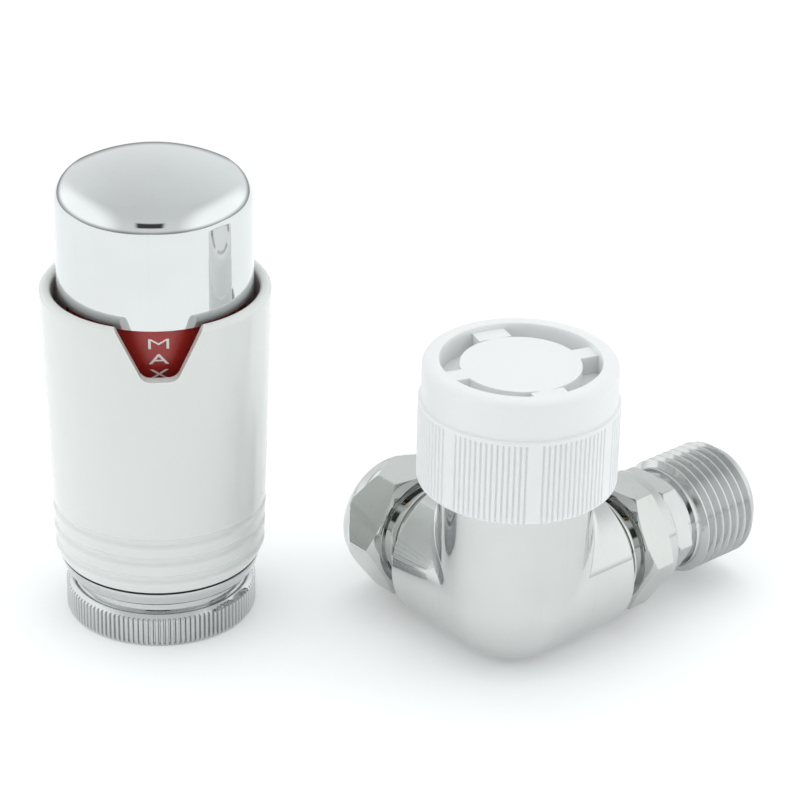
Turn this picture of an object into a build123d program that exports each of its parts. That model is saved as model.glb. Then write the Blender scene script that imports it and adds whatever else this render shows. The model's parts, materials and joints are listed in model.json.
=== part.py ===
"""Thermostatic radiator valve: a corner valve body with its protective cap, and the thermostatic head.

Both units stand on Z = 0. The radiator tail points along +X, the pipe arm along +Y, the valve's pin
and the head's axis along +Z. Sizes are in millimetres.
"""

import os
from math import cos, radians, sin, sqrt

from build123d import *

os.makedirs("parts", exist_ok=True)

# ---------------------------------------------------------------- driving dimensions
# Standard threads
G_HALF_R = 10.48  # G1/2: crest radius
G_HALF_ROOT_R = G_HALF_R - 1.16
SCREW_CREST_R = G_HALF_R - 0.2  # the two screws in the arms are cut a little below full size
G_HALF_PITCH = 1.814
M30_R = 15.0  # M30 x 1.5, the head connection
M30_CORE_R = M30_R - 0.8
M30_PITCH = 1.5
PIPE_R = 7.5  # 15 mm copper pipe

# Clearances
THREAD_CLEARANCE = 0.10  # a screwed part in its plain-drawn thread
RUNNING_CLEARANCE = 0.05  # a pin or spigot in its bore
SLIDE_CLEARANCE = 0.20  # moulded parts that slide in each other, on each side
TURN_GAP = 0.30  # faces of moulded parts that pass each other
SEAT_GAP = 0.02  # between the closed washer and the seat

# Valve body
ARM_R = G_HALF_R + THREAD_CLEARANCE + 2.52  # arms, neck and rounded corner share this radius
ARM_LENGTH = ARM_R + 3.4  # from the pin's axis to an arm's rim
THREAD_START = ARM_LENGTH - 5.8  # where an arm's thread begins, from the pin's axis
SOCKET_START = THREAD_START - 2.3  # where the smooth counterbore begins
SPIGOT_R = G_HALF_ROOT_R - 1.32  # the tail's spigot, which the union screw turns on
NECK_TOP = 35.6
NECK_BORE_R = M30_CORE_R - 4.2
CHAMBER_R = NECK_BORE_R - 2.6
CHAMBER_TOP = NECK_TOP - 9.6
LOWER_CHAMBER_R = 6.0
LOWER_CHAMBER_FLOOR = 5.0
SEAT_WEB_BOTTOM = 13.0
SEAT_WEB_TOP = SEAT_WEB_BOTTOM + 1.0
SEAT_R = 4.0
SEAT_LIP_R = SEAT_R + 0.9
SEAT_LIP_TOP = SEAT_WEB_TOP + 0.9
LOWER_PORT_R = 3.6
LOWER_PORT_Z = SEAT_WEB_BOTTOM - 4.2
UPPER_PORT_R = 3.2
UPPER_PORT_Z = SEAT_WEB_TOP + 3.9
RIM_ROUND = 0.5
CREASE_ROUND = 1.5  # where the arms and the neck meet

# Headwork
FLANGE_THICK = 1.2
HEADWORK_TOP = NECK_TOP + 10.4
SPRING_CHAMBER_R = 5.6
SPRING_CHAMBER_TOP = HEADWORK_TOP - 7.0
RETAINER_THICK = 1.5
GLAND_RECESS_R = 6.0
GLAND_RECESS_FLOOR = HEADWORK_TOP - 2.8
GLAND_SEAL_R = 4.1
GLAND_SEAL_FLOOR = GLAND_RECESS_FLOOR - 2.2
GLAND_HEX = 14.0  # across flats
GLAND_TOP = HEADWORK_TOP + 2.4
PIN_R = 2.0
PIN_TOP = HEADWORK_TOP + 5.0
PIN_TRAVEL = 2.5
PIN_CLIP_R = 4.9
PIN_CLIP_THICK = 0.9
PLATE_R = CHAMBER_R - 1.8
PLATE_THICK = 2.0
WASHER_R = SEAT_LIP_R + 0.5
WASHER_THICK = 2.6
RETURN_WIRE_R = 0.5
RETURN_SPRING_R = 3.8

# Protective cap
CAP_BOTTOM = NECK_TOP - 2.1
CAP_SHOULDER = CAP_BOTTOM + 15.2
CAP_TOP = CAP_SHOULDER + 6.9
CAP_SKIRT_R = M30_R + THREAD_CLEARANCE + 1.7
CAP_BAND_R = CAP_SKIRT_R - 0.5
CAP_TOP_ROUND = 1.3
CAP_ROOF = CAP_TOP - 2.7
CAP_BORE_TOP = HEADWORK_TOP + 1.0
CAP_CAVITY_R = M30_R - 1.6
CAP_RIB_GROUPS = 7
CAP_GROOVES_PER_GROUP = 14
CAP_RIB_PITCH = 3.24  # degrees
CAP_RIB_ANGLE = -47.8  # the middle of the first group
CAP_RIB_DEPTH = 0.35
CAP_GROOVE_WIDTH = 0.42
CAP_RECESS_R = CAP_BAND_R - 2.9
CAP_DISC_R = CAP_RECESS_R - 3.3
CAP_RECESS_DEPTH = 4.2
CAP_DISC_DROP = 1.0
CAP_WALL = 1.4
CAP_BRIDGE_WIDTH = 3.0
CAP_BRIDGE_ANGLE = -17.6
PAD_R = 3.5
PAD_STEM_R = 1.5
PAD_STEM_LENGTH = 1.2

# Screws and tail, measured along the arm from the pin's axis
NUT_HEX = 2 * (G_HALF_R + 0.52)  # across flats
UNION_TIP = ARM_LENGTH - 4.7
UNION_HEX_START = ARM_LENGTH + 4.8
UNION_HEX_END = UNION_HEX_START + 5.8
UNION_END = UNION_HEX_END + 2.2
UNION_COLLAR_R = NUT_HEX / 2 - 0.1
PIPE_SCREW_TIP = ARM_LENGTH - 3.5
PIPE_HEX_START = ARM_LENGTH + 6.0
PIPE_HEX_END = PIPE_HEX_START + 6.7
PIPE_SCREW_END = PIPE_HEX_END + 4.6
PIPE_SCREW_CROWN_R = NUT_HEX / 2 - 0.4
NUT_RELIEF = 0.9
SPIGOT_TIP = SOCKET_START + 0.2
TAIL_BORE_R = SPIGOT_R - 1.8
TAIL_HEX = 2 * (SPIGOT_R + 1.0)
TAIL_HEX_START = UNION_END + TURN_GAP
TAIL_HEX_END = TAIL_HEX_START + 4.0
TAIL_UNDERCUT_R = SPIGOT_R + 0.6
TAIL_THREAD_START = TAIL_HEX_END + 1.6
TAIL_END = TAIL_THREAD_START + 14.7
TAIL_RING_WIRE_R = 0.5
TAIL_SEAL_AT = SPIGOT_TIP + 1.0
TAIL_SEAL_WIRE_R = 0.58
OLIVE_WIDTH = 4.0
OLIVE_R = PIPE_R + 1.7

# Thermostatic head, heights above the surface it stands on
HEAD_DX = -36.5  # the head's place beside the valve
HEAD_DY = 50.9
WINDOW_ANGLE = -124.6  # the way the window faces

COLLAR_R = M30_R + 1.5
COLLAR_HEIGHT = 6.0
COLLAR_BEVEL_R = COLLAR_R - 0.9
COLLAR_BEVEL_HEIGHT = 1.0
COLLAR_FOOT_CHAMFER = 0.4
COLLAR_TEETH = 117
COLLAR_TOOTH_DEPTH = 0.35
COLLAR_NECK_R = M30_R - 0.1
COLLAR_NECK_BORE_R = COLLAR_NECK_R - 1.7
COLLAR_NECK_TOP = COLLAR_HEIGHT + 4.5
COLLAR_RING_Z = COLLAR_NECK_TOP - 0.7
COLLAR_RING_R = COLLAR_NECK_R + 0.1
COLLAR_RING_WIRE_R = 0.45
BASE_BOTTOM = COLLAR_HEIGHT + 2.1
BASE_LIP_TOP = COLLAR_RING_Z - 0.5
BASE_POCKET_TOP = COLLAR_NECK_TOP + TURN_GAP
BASE_TOP = BASE_POCKET_TOP + 3.2

# The radii grow outwards from the frame's tube: scale barrel, dome, sleeve
FRAME_TUBE_R = M30_R - 1.0
FRAME_TUBE_INNER_R = FRAME_TUBE_R - 1.2
BARREL_R = FRAME_TUBE_R + 1.0
DOME_WALL = 1.3
DOME_R = BARREL_R + SLIDE_CLEARANCE + DOME_WALL
SLEEVE_MOUTH_R = DOME_R + 0.9
SLEEVE_TOP_R = SLEEVE_MOUTH_R + 2.1
SLEEVE_LOW_R = SLEEVE_TOP_R - 1.3
SLEEVE_FOOT_R = SLEEVE_LOW_R - 0.9
SLEEVE_INNER_LOW_R = SLEEVE_MOUTH_R - 0.75
BASE_R = SLEEVE_FOOT_R - 0.1
BASE_FOOT_R = BASE_R - 0.8
BASE_POCKET_R = COLLAR_RING_R + COLLAR_RING_WIRE_R + TURN_GAP
BASE_PLUG_R = FRAME_TUBE_R + 0.6

FRAME_BORE_R = 9.0
FRAME_FLOOR_TOP = BASE_POCKET_TOP + 2.5
FRAME_FLANGE_TOP = BASE_TOP + 2.7
SLEEVE_BOTTOM = BASE_POCKET_TOP + 0.2
SLEEVE_LENGTH = 50.3
SLEEVE_LOW_Z = SLEEVE_BOTTOM + 2.6
SLEEVE_LIP_TOP = SLEEVE_BOTTOM + SLEEVE_LENGTH
SLEEVE_GROOVES = (SLEEVE_BOTTOM + 3.1, SLEEVE_BOTTOM + 6.65, SLEEVE_BOTTOM + 10.2)
SLEEVE_GROOVE_HALF = 0.75
SLEEVE_GROOVE_DEPTH = 0.35
SLEEVE_LEDGE_BOTTOM = FRAME_FLANGE_TOP + TURN_GAP
SLEEVE_LEDGE_TOP = SLEEVE_LEDGE_BOTTOM + 2.0
WINDOW_BOTTOM = SLEEVE_LIP_TOP - 9.2
WINDOW_BOTTOM_HALF = 2.75
WINDOW_TOP_HALF = 7.2
WINDOW_CORNER = 1.2
CLIP_WIRE_R = 0.5
BARREL_BOTTOM = WINDOW_BOTTOM - 8.1
BARREL_TOP = SLEEVE_LIP_TOP + 4.7
FRAME_TOP = BARREL_BOTTOM + 6.0
DOME_TOP = SLEEVE_LIP_TOP + 23.0
DOME_CROWN_R = 30.4
DOME_SHOULDER_R = 3.0
DOME_SKIRT_BOTTOM = SLEEVE_LIP_TOP + TURN_GAP
DOME_TAB_BOTTOM = SLEEVE_LIP_TOP - 1.2
DOME_TAB_HALF = 5.9
DOME_LEG_WIDTH = 6.0
DOME_LEG_BOTTOM = SLEEVE_LIP_TOP - 13.5
DOME_HOOK_TOP = DOME_LEG_BOTTOM + 1.1
DOME_HOOK_R = DOME_R + 0.45

# The sensor rides in a carrier whose lugs run in the drive ring
CARRIER_R = FRAME_TUBE_INNER_R - SLIDE_CLEARANCE
CARRIER_INNER_R = CARRIER_R - 1.8
CARRIER_BOTTOM = SLEEVE_BOTTOM + 19.0
CARRIER_FLOOR_TOP = CARRIER_BOTTOM + 2.0
CARRIER_TOP = FRAME_TOP
CARRIER_BORE_R = 3.2
CARRIER_TRAVEL = 4.8
LUG_COUNT = 3
LUG_WIDTH = 4.0
LUG_REACH_R = FRAME_TUBE_R + 1.6
LUG_BOTTOM = CARRIER_BOTTOM + 0.5
LUG_TOP = LUG_BOTTOM + 2.0
DRIVE_BOTTOM = SLEEVE_LEDGE_TOP + 1.4
DRIVE_TOP = LUG_TOP + 3.5
DRIVE_BORE_R = FRAME_TUBE_R + 0.6
DRIVE_CHANNEL_R = LUG_REACH_R + TURN_GAP
CAPSULE_R = CARRIER_INNER_R - 0.1
CAPSULE_TOP = SLEEVE_LIP_TOP + 0.7
CAPSULE_ROUND = 2.5
PISTON_R = 2.4
PISTON_TOP = CARRIER_FLOOR_TOP + 5.0
CUP_R = FRAME_BORE_R - SLIDE_CLEARANCE
CUP_INNER_R = CUP_R - 0.9
CUP_BOTTOM = FRAME_FLOOR_TOP + 0.7
CUP_LIP_R = 5.0
CUP_LIP_TOP = CUP_BOTTOM + 1.0
CUP_TOP = CARRIER_BOTTOM - 3.5
CUP_ROOF = 1.0
CUP_FLANGE_R = CUP_R + 2.4
CUP_FLANGE_THICK = 1.0
ROD_R = 3.0
ROD_BOTTOM = BASE_BOTTOM + 0.8
ROD_FLANGE_R = CUP_INNER_R - TURN_GAP
ROD_FLANGE_TOP = CUP_LIP_TOP + 1.8
HEAD_SPRING_WIRE_R = 0.6
CUP_SPRING_R = CUP_R + 1.4
OVERTRAVEL_SPRING_R = CUP_INNER_R - 2.3

# ---------------------------------------------------------------- places and planes
# The origin is under the middle of the two units' common box, so the pin's axis stands off it.
VALVE_X = -(TAIL_END + HEAD_DX - SLEEVE_TOP_R) / 2
VALVE_Y = -(HEAD_DY + SLEEVE_TOP_R - CAP_SKIRT_R) / 2
ARM_Z = ARM_R
HEAD_X = VALVE_X + HEAD_DX
HEAD_Y = VALVE_Y + HEAD_DY

PIN_AXIS = Axis((VALVE_X, VALVE_Y, 0), (0, 0, 1))
HEAD_AXIS = Axis((HEAD_X, HEAD_Y, 0), (0, 0, 1))
TAIL_AXIS = Axis((VALVE_X, VALVE_Y, ARM_Z), (1, 0, 0))
PIPE_AXIS = Axis((VALVE_X, VALVE_Y, ARM_Z), (0, 1, 0))

# Section planes for turned parts: first coordinate is the radius (or the way along an arm)
PIN_SECTION = Plane(origin=(VALVE_X, VALVE_Y, 0), x_dir=(1, 0, 0), z_dir=(0, -1, 0))
HEAD_SECTION = Plane(origin=(HEAD_X, HEAD_Y, 0), x_dir=(1, 0, 0), z_dir=(0, -1, 0))
TAIL_SECTION = Plane(origin=(VALVE_X, VALVE_Y, ARM_Z), x_dir=(1, 0, 0), z_dir=(0, -1, 0))
PIPE_SECTION = Plane(origin=(VALVE_X, VALVE_Y, ARM_Z), x_dir=(0, 1, 0), z_dir=(1, 0, 0))


def valve_level(height):
    """A level plane centred on the pin's axis."""
    return Plane(origin=(VALVE_X, VALVE_Y, height), x_dir=(1, 0, 0), z_dir=(0, 0, 1))


def head_level(height):
    """A level plane centred on the head's axis, its first axis facing the window's way."""
    toward_window = (cos(radians(WINDOW_ANGLE)), sin(radians(WINDOW_ANGLE)), 0)
    return Plane(origin=(HEAD_X, HEAD_Y, height), x_dir=toward_window, z_dir=(0, 0, 1))


def tail_station(distance):
    """A plane square to the radiator arm, at a distance from the pin's axis."""
    return Plane(origin=(VALVE_X + distance, VALVE_Y, ARM_Z), x_dir=(0, 1, 0), z_dir=(1, 0, 0))


def pipe_station(distance):
    """A plane square to the pipe arm, at a distance from the pin's axis."""
    return Plane(origin=(VALVE_X, VALVE_Y + distance, ARM_Z), x_dir=(-1, 0, 0), z_dir=(0, 1, 0))


def head_facing(angle, distance=0.0):
    """An upright plane on the head's axis that faces an angle from the window's direction."""
    turn = radians(WINDOW_ANGLE + angle)
    outward = (cos(turn), sin(turn), 0)
    origin = (HEAD_X + distance * outward[0], HEAD_Y + distance * outward[1], 0)
    return Plane(origin=origin, x_dir=(-sin(turn), cos(turn), 0), z_dir=outward)


def ridges(start, end, crest_r, root_r, pitch):
    """Thread ridges from start to end as (way along, radius) points, drawn as plain rings."""
    turns = int((end - start) / pitch)
    points = []
    for turn in range(turns):
        low = start + turn * pitch
        points.append((low + 0.08 * pitch, root_r))
        points.append((low + 0.42 * pitch, crest_r))
        points.append((low + 0.58 * pitch, crest_r))
        points.append((low + 0.92 * pitch, root_r))
    return points


def swapped(points):
    """The same outline with radius first and height second."""
    return [(radius, along) for along, radius in points]


def hex_corner(across_flats):
    """The corner radius of a hexagon."""
    return across_flats / sqrt(3)


def finish(piece, name):
    """Label a finished piece and write it."""
    piece.part.label = name
    export_step(piece.part, f"parts/{name}.step")


# ---------------------------------------------------------------- valve body
# Chrome-plated brass: two arms and the neck run into one rounded corner. The pipe arm leads into the
# chamber below the seat, the radiator arm out of the chamber above it.
ARM_BORE_R = SCREW_CREST_R + THREAD_CLEARANCE
TAIL_SOCKET_R = SPIGOT_R + 0.15
PIPE_SOCKET_R = PIPE_R + 0.10
INSERT_SEAL_WIRE_R = 0.68
INSERT_SEAL_R = NECK_BORE_R + 0.45
INSERT_SEAL_Z = NECK_TOP - 0.8
SEAL_POCKET_R = INSERT_SEAL_R + INSERT_SEAL_WIRE_R + RUNNING_CLEARANCE
SEAL_POCKET_FLOOR = INSERT_SEAL_Z - INSERT_SEAL_WIRE_R - RUNNING_CLEARANCE

with BuildPart() as valve_body:
    with BuildSketch(valve_level(ARM_Z)):
        Circle(ARM_R)
    extrude(amount=NECK_TOP - ARM_Z)
    with BuildSketch(tail_station(0)):
        Circle(ARM_R)
    extrude(amount=ARM_LENGTH)
    with BuildSketch(pipe_station(0)):
        Circle(ARM_R)
    extrude(amount=ARM_LENGTH)
    with Locations((VALVE_X, VALVE_Y, ARM_Z)):
        Sphere(ARM_R)
    creases = valve_body.edges().filter_by(GeomType.ELLIPSE)
    fillet(creases, CREASE_ROUND)
    rims = [
        valve_body.faces().sort_by(Axis.X)[-1].edges(),
        valve_body.faces().sort_by(Axis.Y)[-1].edges(),
        valve_body.faces().sort_by(Axis.Z)[-1].edges(),
    ]
    fillet([edge for rim in rims for edge in rim], RIM_ROUND)
    # pin bore: lower chamber, seat and its raised lip, upper chamber, headwork bore
    with BuildSketch(PIN_SECTION):
        Polygon(
            (0, LOWER_CHAMBER_FLOOR),
            (LOWER_CHAMBER_R, LOWER_CHAMBER_FLOOR),
            (LOWER_CHAMBER_R, SEAT_WEB_BOTTOM),
            (SEAT_R, SEAT_WEB_BOTTOM),
            (SEAT_R, SEAT_LIP_TOP),
            (SEAT_LIP_R, SEAT_LIP_TOP),
            (SEAT_LIP_R + 0.3, SEAT_WEB_TOP),
            (CHAMBER_R, SEAT_WEB_TOP),
            (CHAMBER_R, CHAMBER_TOP),
            (NECK_BORE_R, CHAMBER_TOP),
            (NECK_BORE_R, SEAL_POCKET_FLOOR),
            (SEAL_POCKET_R, SEAL_POCKET_FLOOR),
            (SEAL_POCKET_R, NECK_TOP),
            (0, NECK_TOP),
            align=None,
        )
    revolve(axis=PIN_AXIS, mode=Mode.SUBTRACT)
    # radiator arm: smooth socket for the tail's spigot, then the thread
    with BuildSketch(TAIL_SECTION):
        Polygon(
            (SOCKET_START, 0),
            (SOCKET_START, TAIL_SOCKET_R),
            (THREAD_START, TAIL_SOCKET_R),
            (THREAD_START, ARM_BORE_R),
            (ARM_LENGTH - 0.6, ARM_BORE_R),
            (ARM_LENGTH, ARM_BORE_R + 0.6),
            (ARM_LENGTH, 0),
            align=None,
        )
    revolve(axis=TAIL_AXIS, mode=Mode.SUBTRACT)
    # pipe arm: pipe socket, clamping cone, then the thread
    with BuildSketch(PIPE_SECTION):
        Polygon(
            (SOCKET_START, 0),
            (SOCKET_START, PIPE_SOCKET_R),
            (THREAD_START - 0.4, PIPE_SOCKET_R),
            (THREAD_START + 0.5, PIPE_SOCKET_R + 0.9),
            (THREAD_START + 0.5, ARM_BORE_R),
            (ARM_LENGTH - 0.6, ARM_BORE_R),
            (ARM_LENGTH, ARM_BORE_R + 0.6),
            (ARM_LENGTH, 0),
            align=None,
        )
    revolve(axis=PIPE_AXIS, mode=Mode.SUBTRACT)
    # ports from the sockets into the two chambers
    with BuildSketch(tail_station(SOCKET_START)):
        with Locations((0, UPPER_PORT_Z - ARM_Z)):
            Circle(UPPER_PORT_R)
    extrude(amount=-SOCKET_START, mode=Mode.SUBTRACT)
    with BuildSketch(pipe_station(SOCKET_START)):
        with Locations((0, LOWER_PORT_Z - ARM_Z)):
            Circle(LOWER_PORT_R)
    extrude(amount=-SOCKET_START, mode=Mode.SUBTRACT)
finish(valve_body, "valve_body")

# ---------------------------------------------------------------- headwork
FLANGE_TOP = NECK_TOP + FLANGE_THICK
INSERT_R = NECK_BORE_R - THREAD_CLEARANCE
INSERT_NECK_R = INSERT_SEAL_R - INSERT_SEAL_WIRE_R
RETAINER_BOTTOM = CHAMBER_TOP + 0.8
RETAINER_TOP = RETAINER_BOTTOM + RETAINER_THICK

with BuildPart() as insert_housing:
    with BuildSketch(PIN_SECTION):
        Polygon(
            (SPRING_CHAMBER_R, CHAMBER_TOP),
            (INSERT_R - 0.5, CHAMBER_TOP),
            (INSERT_R, CHAMBER_TOP + 0.5),
            (INSERT_R, SEAL_POCKET_FLOOR - 0.4),
            (INSERT_NECK_R, SEAL_POCKET_FLOOR - 0.2),
            (INSERT_NECK_R, NECK_TOP),
            (ARM_R, NECK_TOP),
            (ARM_R, FLANGE_TOP),
            (M30_CORE_R, FLANGE_TOP + 0.3),
            *swapped(ridges(FLANGE_TOP + 0.3, HEADWORK_TOP - 0.4, M30_R, M30_CORE_R, M30_PITCH)),
            (M30_CORE_R, HEADWORK_TOP - 0.4),
            (M30_CORE_R - 0.6, HEADWORK_TOP),
            (GLAND_RECESS_R, HEADWORK_TOP),
            (GLAND_RECESS_R, GLAND_RECESS_FLOOR),
            (GLAND_SEAL_R, GLAND_RECESS_FLOOR),
            (GLAND_SEAL_R, GLAND_SEAL_FLOOR),
            (PIN_R + RUNNING_CLEARANCE, GLAND_SEAL_FLOOR),
            (PIN_R + RUNNING_CLEARANCE, SPRING_CHAMBER_TOP),
            (SPRING_CHAMBER_R, SPRING_CHAMBER_TOP),
            align=None,
        )
    revolve(axis=PIN_AXIS)
finish(insert_housing, "insert_housing")

with BuildPart() as insert_o_ring:
    with BuildSketch(PIN_SECTION):
        with Locations((INSERT_SEAL_R, INSERT_SEAL_Z)):
            Circle(INSERT_SEAL_WIRE_R)
    revolve(axis=PIN_AXIS)
finish(insert_o_ring, "insert_o_ring")

with BuildPart() as spring_retainer:
    with BuildSketch(valve_level(RETAINER_BOTTOM)):
        Circle(SPRING_CHAMBER_R)
        Circle(PIN_R + 0.3, mode=Mode.SUBTRACT)
    extrude(amount=RETAINER_THICK)
finish(spring_retainer, "spring_retainer")

with BuildPart() as gland_nut:
    with BuildSketch(valve_level(GLAND_RECESS_FLOOR)):
        Circle(GLAND_RECESS_R - THREAD_CLEARANCE)
    extrude(amount=HEADWORK_TOP - GLAND_RECESS_FLOOR)
    with BuildSketch(valve_level(HEADWORK_TOP)):
        RegularPolygon(hex_corner(GLAND_HEX), 6)
    extrude(amount=GLAND_TOP - HEADWORK_TOP)
    with BuildSketch(valve_level(GLAND_RECESS_FLOOR)):
        Circle(PIN_R + RUNNING_CLEARANCE)
    extrude(amount=GLAND_TOP - GLAND_RECESS_FLOOR, mode=Mode.SUBTRACT)
    chamfer(gland_nut.faces().sort_by(Axis.Z)[-1].outer_wire().edges(), 0.4)
finish(gland_nut, "gland_nut")

GLAND_SEAL_INNER_R = PIN_R + RUNNING_CLEARANCE
GLAND_SEAL_WIRE_R = (GLAND_RECESS_FLOOR - GLAND_SEAL_FLOOR) / 2 - 0.15
GLAND_SEAL_Z = (GLAND_RECESS_FLOOR + GLAND_SEAL_FLOOR) / 2

with BuildPart() as gland_o_ring:
    with BuildSketch(PIN_SECTION):
        with Locations((GLAND_SEAL_INNER_R + GLAND_SEAL_WIRE_R, GLAND_SEAL_Z)):
            Circle(GLAND_SEAL_WIRE_R)
    revolve(axis=PIN_AXIS)
finish(gland_o_ring, "gland_o_ring")

# ---------------------------------------------------------------- pin, plate and washer
# At rest the spring holds the pin up and the valve open; a full push closes the washer on the seat.
WASHER_BOTTOM = SEAT_LIP_TOP + PIN_TRAVEL + SEAT_GAP
PLATE_BOTTOM = WASHER_BOTTOM + WASHER_THICK
CLIP_TOP = SPRING_CHAMBER_TOP - RUNNING_CLEARANCE
CLIP_BOTTOM = CLIP_TOP - PIN_CLIP_THICK

with BuildPart() as valve_pin:
    with BuildSketch(valve_level(WASHER_BOTTOM - 0.8)):
        Circle(PIN_R)
    extrude(amount=PIN_TOP - WASHER_BOTTOM + 0.8)
    fillet(valve_pin.edges().sort_by(Axis.Z)[-1], 0.6)
    with BuildSketch(valve_level(CLIP_BOTTOM)):
        Circle(PIN_R)
        Circle(PIN_R - 0.4, mode=Mode.SUBTRACT)
    extrude(amount=PIN_CLIP_THICK, mode=Mode.SUBTRACT)
finish(valve_pin, "valve_pin")

with BuildPart() as pin_clip:
    with BuildSketch(valve_level(CLIP_BOTTOM)):
        Circle(PIN_CLIP_R)
        Circle(PIN_R - 0.4, mode=Mode.SUBTRACT)
        with Locations((PIN_CLIP_R, 0)):
            Rectangle(2 * PIN_CLIP_R, 2.4, mode=Mode.SUBTRACT)
    extrude(amount=PIN_CLIP_THICK)
finish(pin_clip, "pin_clip")

with BuildPart() as valve_plate:
    with BuildSketch(valve_level(PLATE_BOTTOM)):
        Circle(PLATE_R)
        Circle(PIN_R, mode=Mode.SUBTRACT)
    extrude(amount=PLATE_THICK)
    chamfer(valve_plate.faces().sort_by(Axis.Z)[-1].outer_wire().edges(), 0.5)
finish(valve_plate, "valve_plate")

with BuildPart() as seat_washer:
    with BuildSketch(valve_level(WASHER_BOTTOM)):
        Circle(WASHER_R)
        Circle(PIN_R, mode=Mode.SUBTRACT)
    extrude(amount=WASHER_THICK)
finish(seat_washer, "seat_washer")


def coil(plane, spring_r, wire_r, free_height, turns):
    """A wound spring that stands on a plane, wire included within its height."""
    rise = free_height - 2 * wire_r
    with BuildPart() as spring:
        with BuildLine(plane.offset(wire_r)) as path:
            Helix(pitch=rise / turns, height=rise, radius=spring_r)
        with BuildSketch(Plane(origin=path.line @ 0, z_dir=path.line % 0)):
            Circle(wire_r)
        sweep(path=path.line, is_frenet=True)
    return spring


SPRING_END_GAP = 0.1
return_spring = coil(
    valve_level(RETAINER_TOP + SPRING_END_GAP),
    RETURN_SPRING_R,
    RETURN_WIRE_R,
    CLIP_BOTTOM - RETAINER_TOP - 2 * SPRING_END_GAP,
    5,
)
finish(return_spring, "return_spring")

# ---------------------------------------------------------------- protective cap
# White moulded cap over the M30 thread; its ribbed skirt has plain stretches between groups of ribs.
CAP_BORE_R = M30_R + THREAD_CLEARANCE
CAP_CEILING = CAP_TOP - CAP_RECESS_DEPTH - CAP_WALL  # underside of the recess floor
CAP_HOLLOW_R = CAP_DISC_R - CAP_WALL
CAP_RIM_R = CAP_BAND_R - CAP_TOP_ROUND
PAD_BOTTOM = PIN_TOP + 0.1
PAD_TOP = CAP_ROOF - RUNNING_CLEARANCE

with BuildPart() as protective_cap:
    with BuildSketch(PIN_SECTION):
        with BuildLine():
            Line((0, CAP_ROOF), (CAP_HOLLOW_R, CAP_ROOF))
            Line((CAP_HOLLOW_R, CAP_ROOF), (CAP_HOLLOW_R, CAP_CEILING))
            Line((CAP_HOLLOW_R, CAP_CEILING), (CAP_CAVITY_R, CAP_CEILING))
            Line((CAP_CAVITY_R, CAP_CEILING), (CAP_CAVITY_R, CAP_BORE_TOP))
            Line((CAP_CAVITY_R, CAP_BORE_TOP), (CAP_BORE_R, CAP_BORE_TOP))
            Line((CAP_BORE_R, CAP_BORE_TOP), (CAP_BORE_R, CAP_BOTTOM + 0.3))
            Line((CAP_BORE_R, CAP_BOTTOM + 0.3), (CAP_BORE_R + 0.3, CAP_BOTTOM))
            Line((CAP_BORE_R + 0.3, CAP_BOTTOM), (CAP_SKIRT_R - 0.9, CAP_BOTTOM))
            RadiusArc((CAP_SKIRT_R - 0.9, CAP_BOTTOM), (CAP_SKIRT_R, CAP_BOTTOM + 0.9), -0.9)
            Line((CAP_SKIRT_R, CAP_BOTTOM + 0.9), (CAP_SKIRT_R, CAP_SHOULDER - 0.2))
            Line((CAP_SKIRT_R, CAP_SHOULDER - 0.2), (CAP_BAND_R, CAP_SHOULDER + 0.1))
            Line((CAP_BAND_R, CAP_SHOULDER + 0.1), (CAP_BAND_R, CAP_TOP - CAP_TOP_ROUND))
            RadiusArc((CAP_BAND_R, CAP_TOP - CAP_TOP_ROUND), (CAP_RIM_R, CAP_TOP), -CAP_TOP_ROUND)
            Line((CAP_RIM_R, CAP_TOP), (0, CAP_TOP))
            Line((0, CAP_TOP), (0, CAP_ROOF))
        make_face()
    revolve(axis=PIN_AXIS)
    # annular recess with four bridges, and the disc set slightly below the rim
    with BuildSketch(valve_level(CAP_TOP)):
        Circle(CAP_RECESS_R)
        Circle(CAP_DISC_R, mode=Mode.SUBTRACT)
        with PolarLocations((CAP_RECESS_R + CAP_DISC_R) / 2, 4, start_angle=CAP_BRIDGE_ANGLE):
            Rectangle(2 * (CAP_RECESS_R - CAP_DISC_R), CAP_BRIDGE_WIDTH, mode=Mode.SUBTRACT)
    extrude(amount=-CAP_RECESS_DEPTH, mode=Mode.SUBTRACT)
    with BuildSketch(valve_level(CAP_TOP)):
        Circle(CAP_RECESS_R)
    extrude(amount=-CAP_DISC_DROP, mode=Mode.SUBTRACT)
    # stem hole of the thrust pad
    with BuildSketch(valve_level(CAP_ROOF)):
        Circle(PAD_STEM_R + RUNNING_CLEARANCE)
    extrude(amount=PAD_STEM_LENGTH + 0.1, mode=Mode.SUBTRACT)
    # grooves between the ribs, open at the skirt's foot and stopping short of its shoulder
    with BuildSketch(valve_level(CAP_BOTTOM)):
        for group in range(CAP_RIB_GROUPS):
            group_angle = CAP_RIB_ANGLE + group * 360 / CAP_RIB_GROUPS
            for groove in range(CAP_GROOVES_PER_GROUP):
                angle = group_angle + (groove - (CAP_GROOVES_PER_GROUP - 1) / 2) * CAP_RIB_PITCH
                with PolarLocations(CAP_SKIRT_R, 1, start_angle=angle):
                    Rectangle(2 * CAP_RIB_DEPTH, CAP_GROOVE_WIDTH)
    extrude(amount=CAP_SHOULDER - CAP_BOTTOM - 0.6, mode=Mode.SUBTRACT)
finish(protective_cap, "protective_cap")

with BuildPart() as cap_thrust_pad:
    with BuildSketch(valve_level(PAD_BOTTOM)):
        Circle(PAD_R)
    extrude(amount=PAD_TOP - PAD_BOTTOM)
    with BuildSketch(valve_level(PAD_TOP)):
        Circle(PAD_STEM_R)
    extrude(amount=PAD_STEM_LENGTH)
finish(cap_thrust_pad, "cap_thrust_pad")

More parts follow.
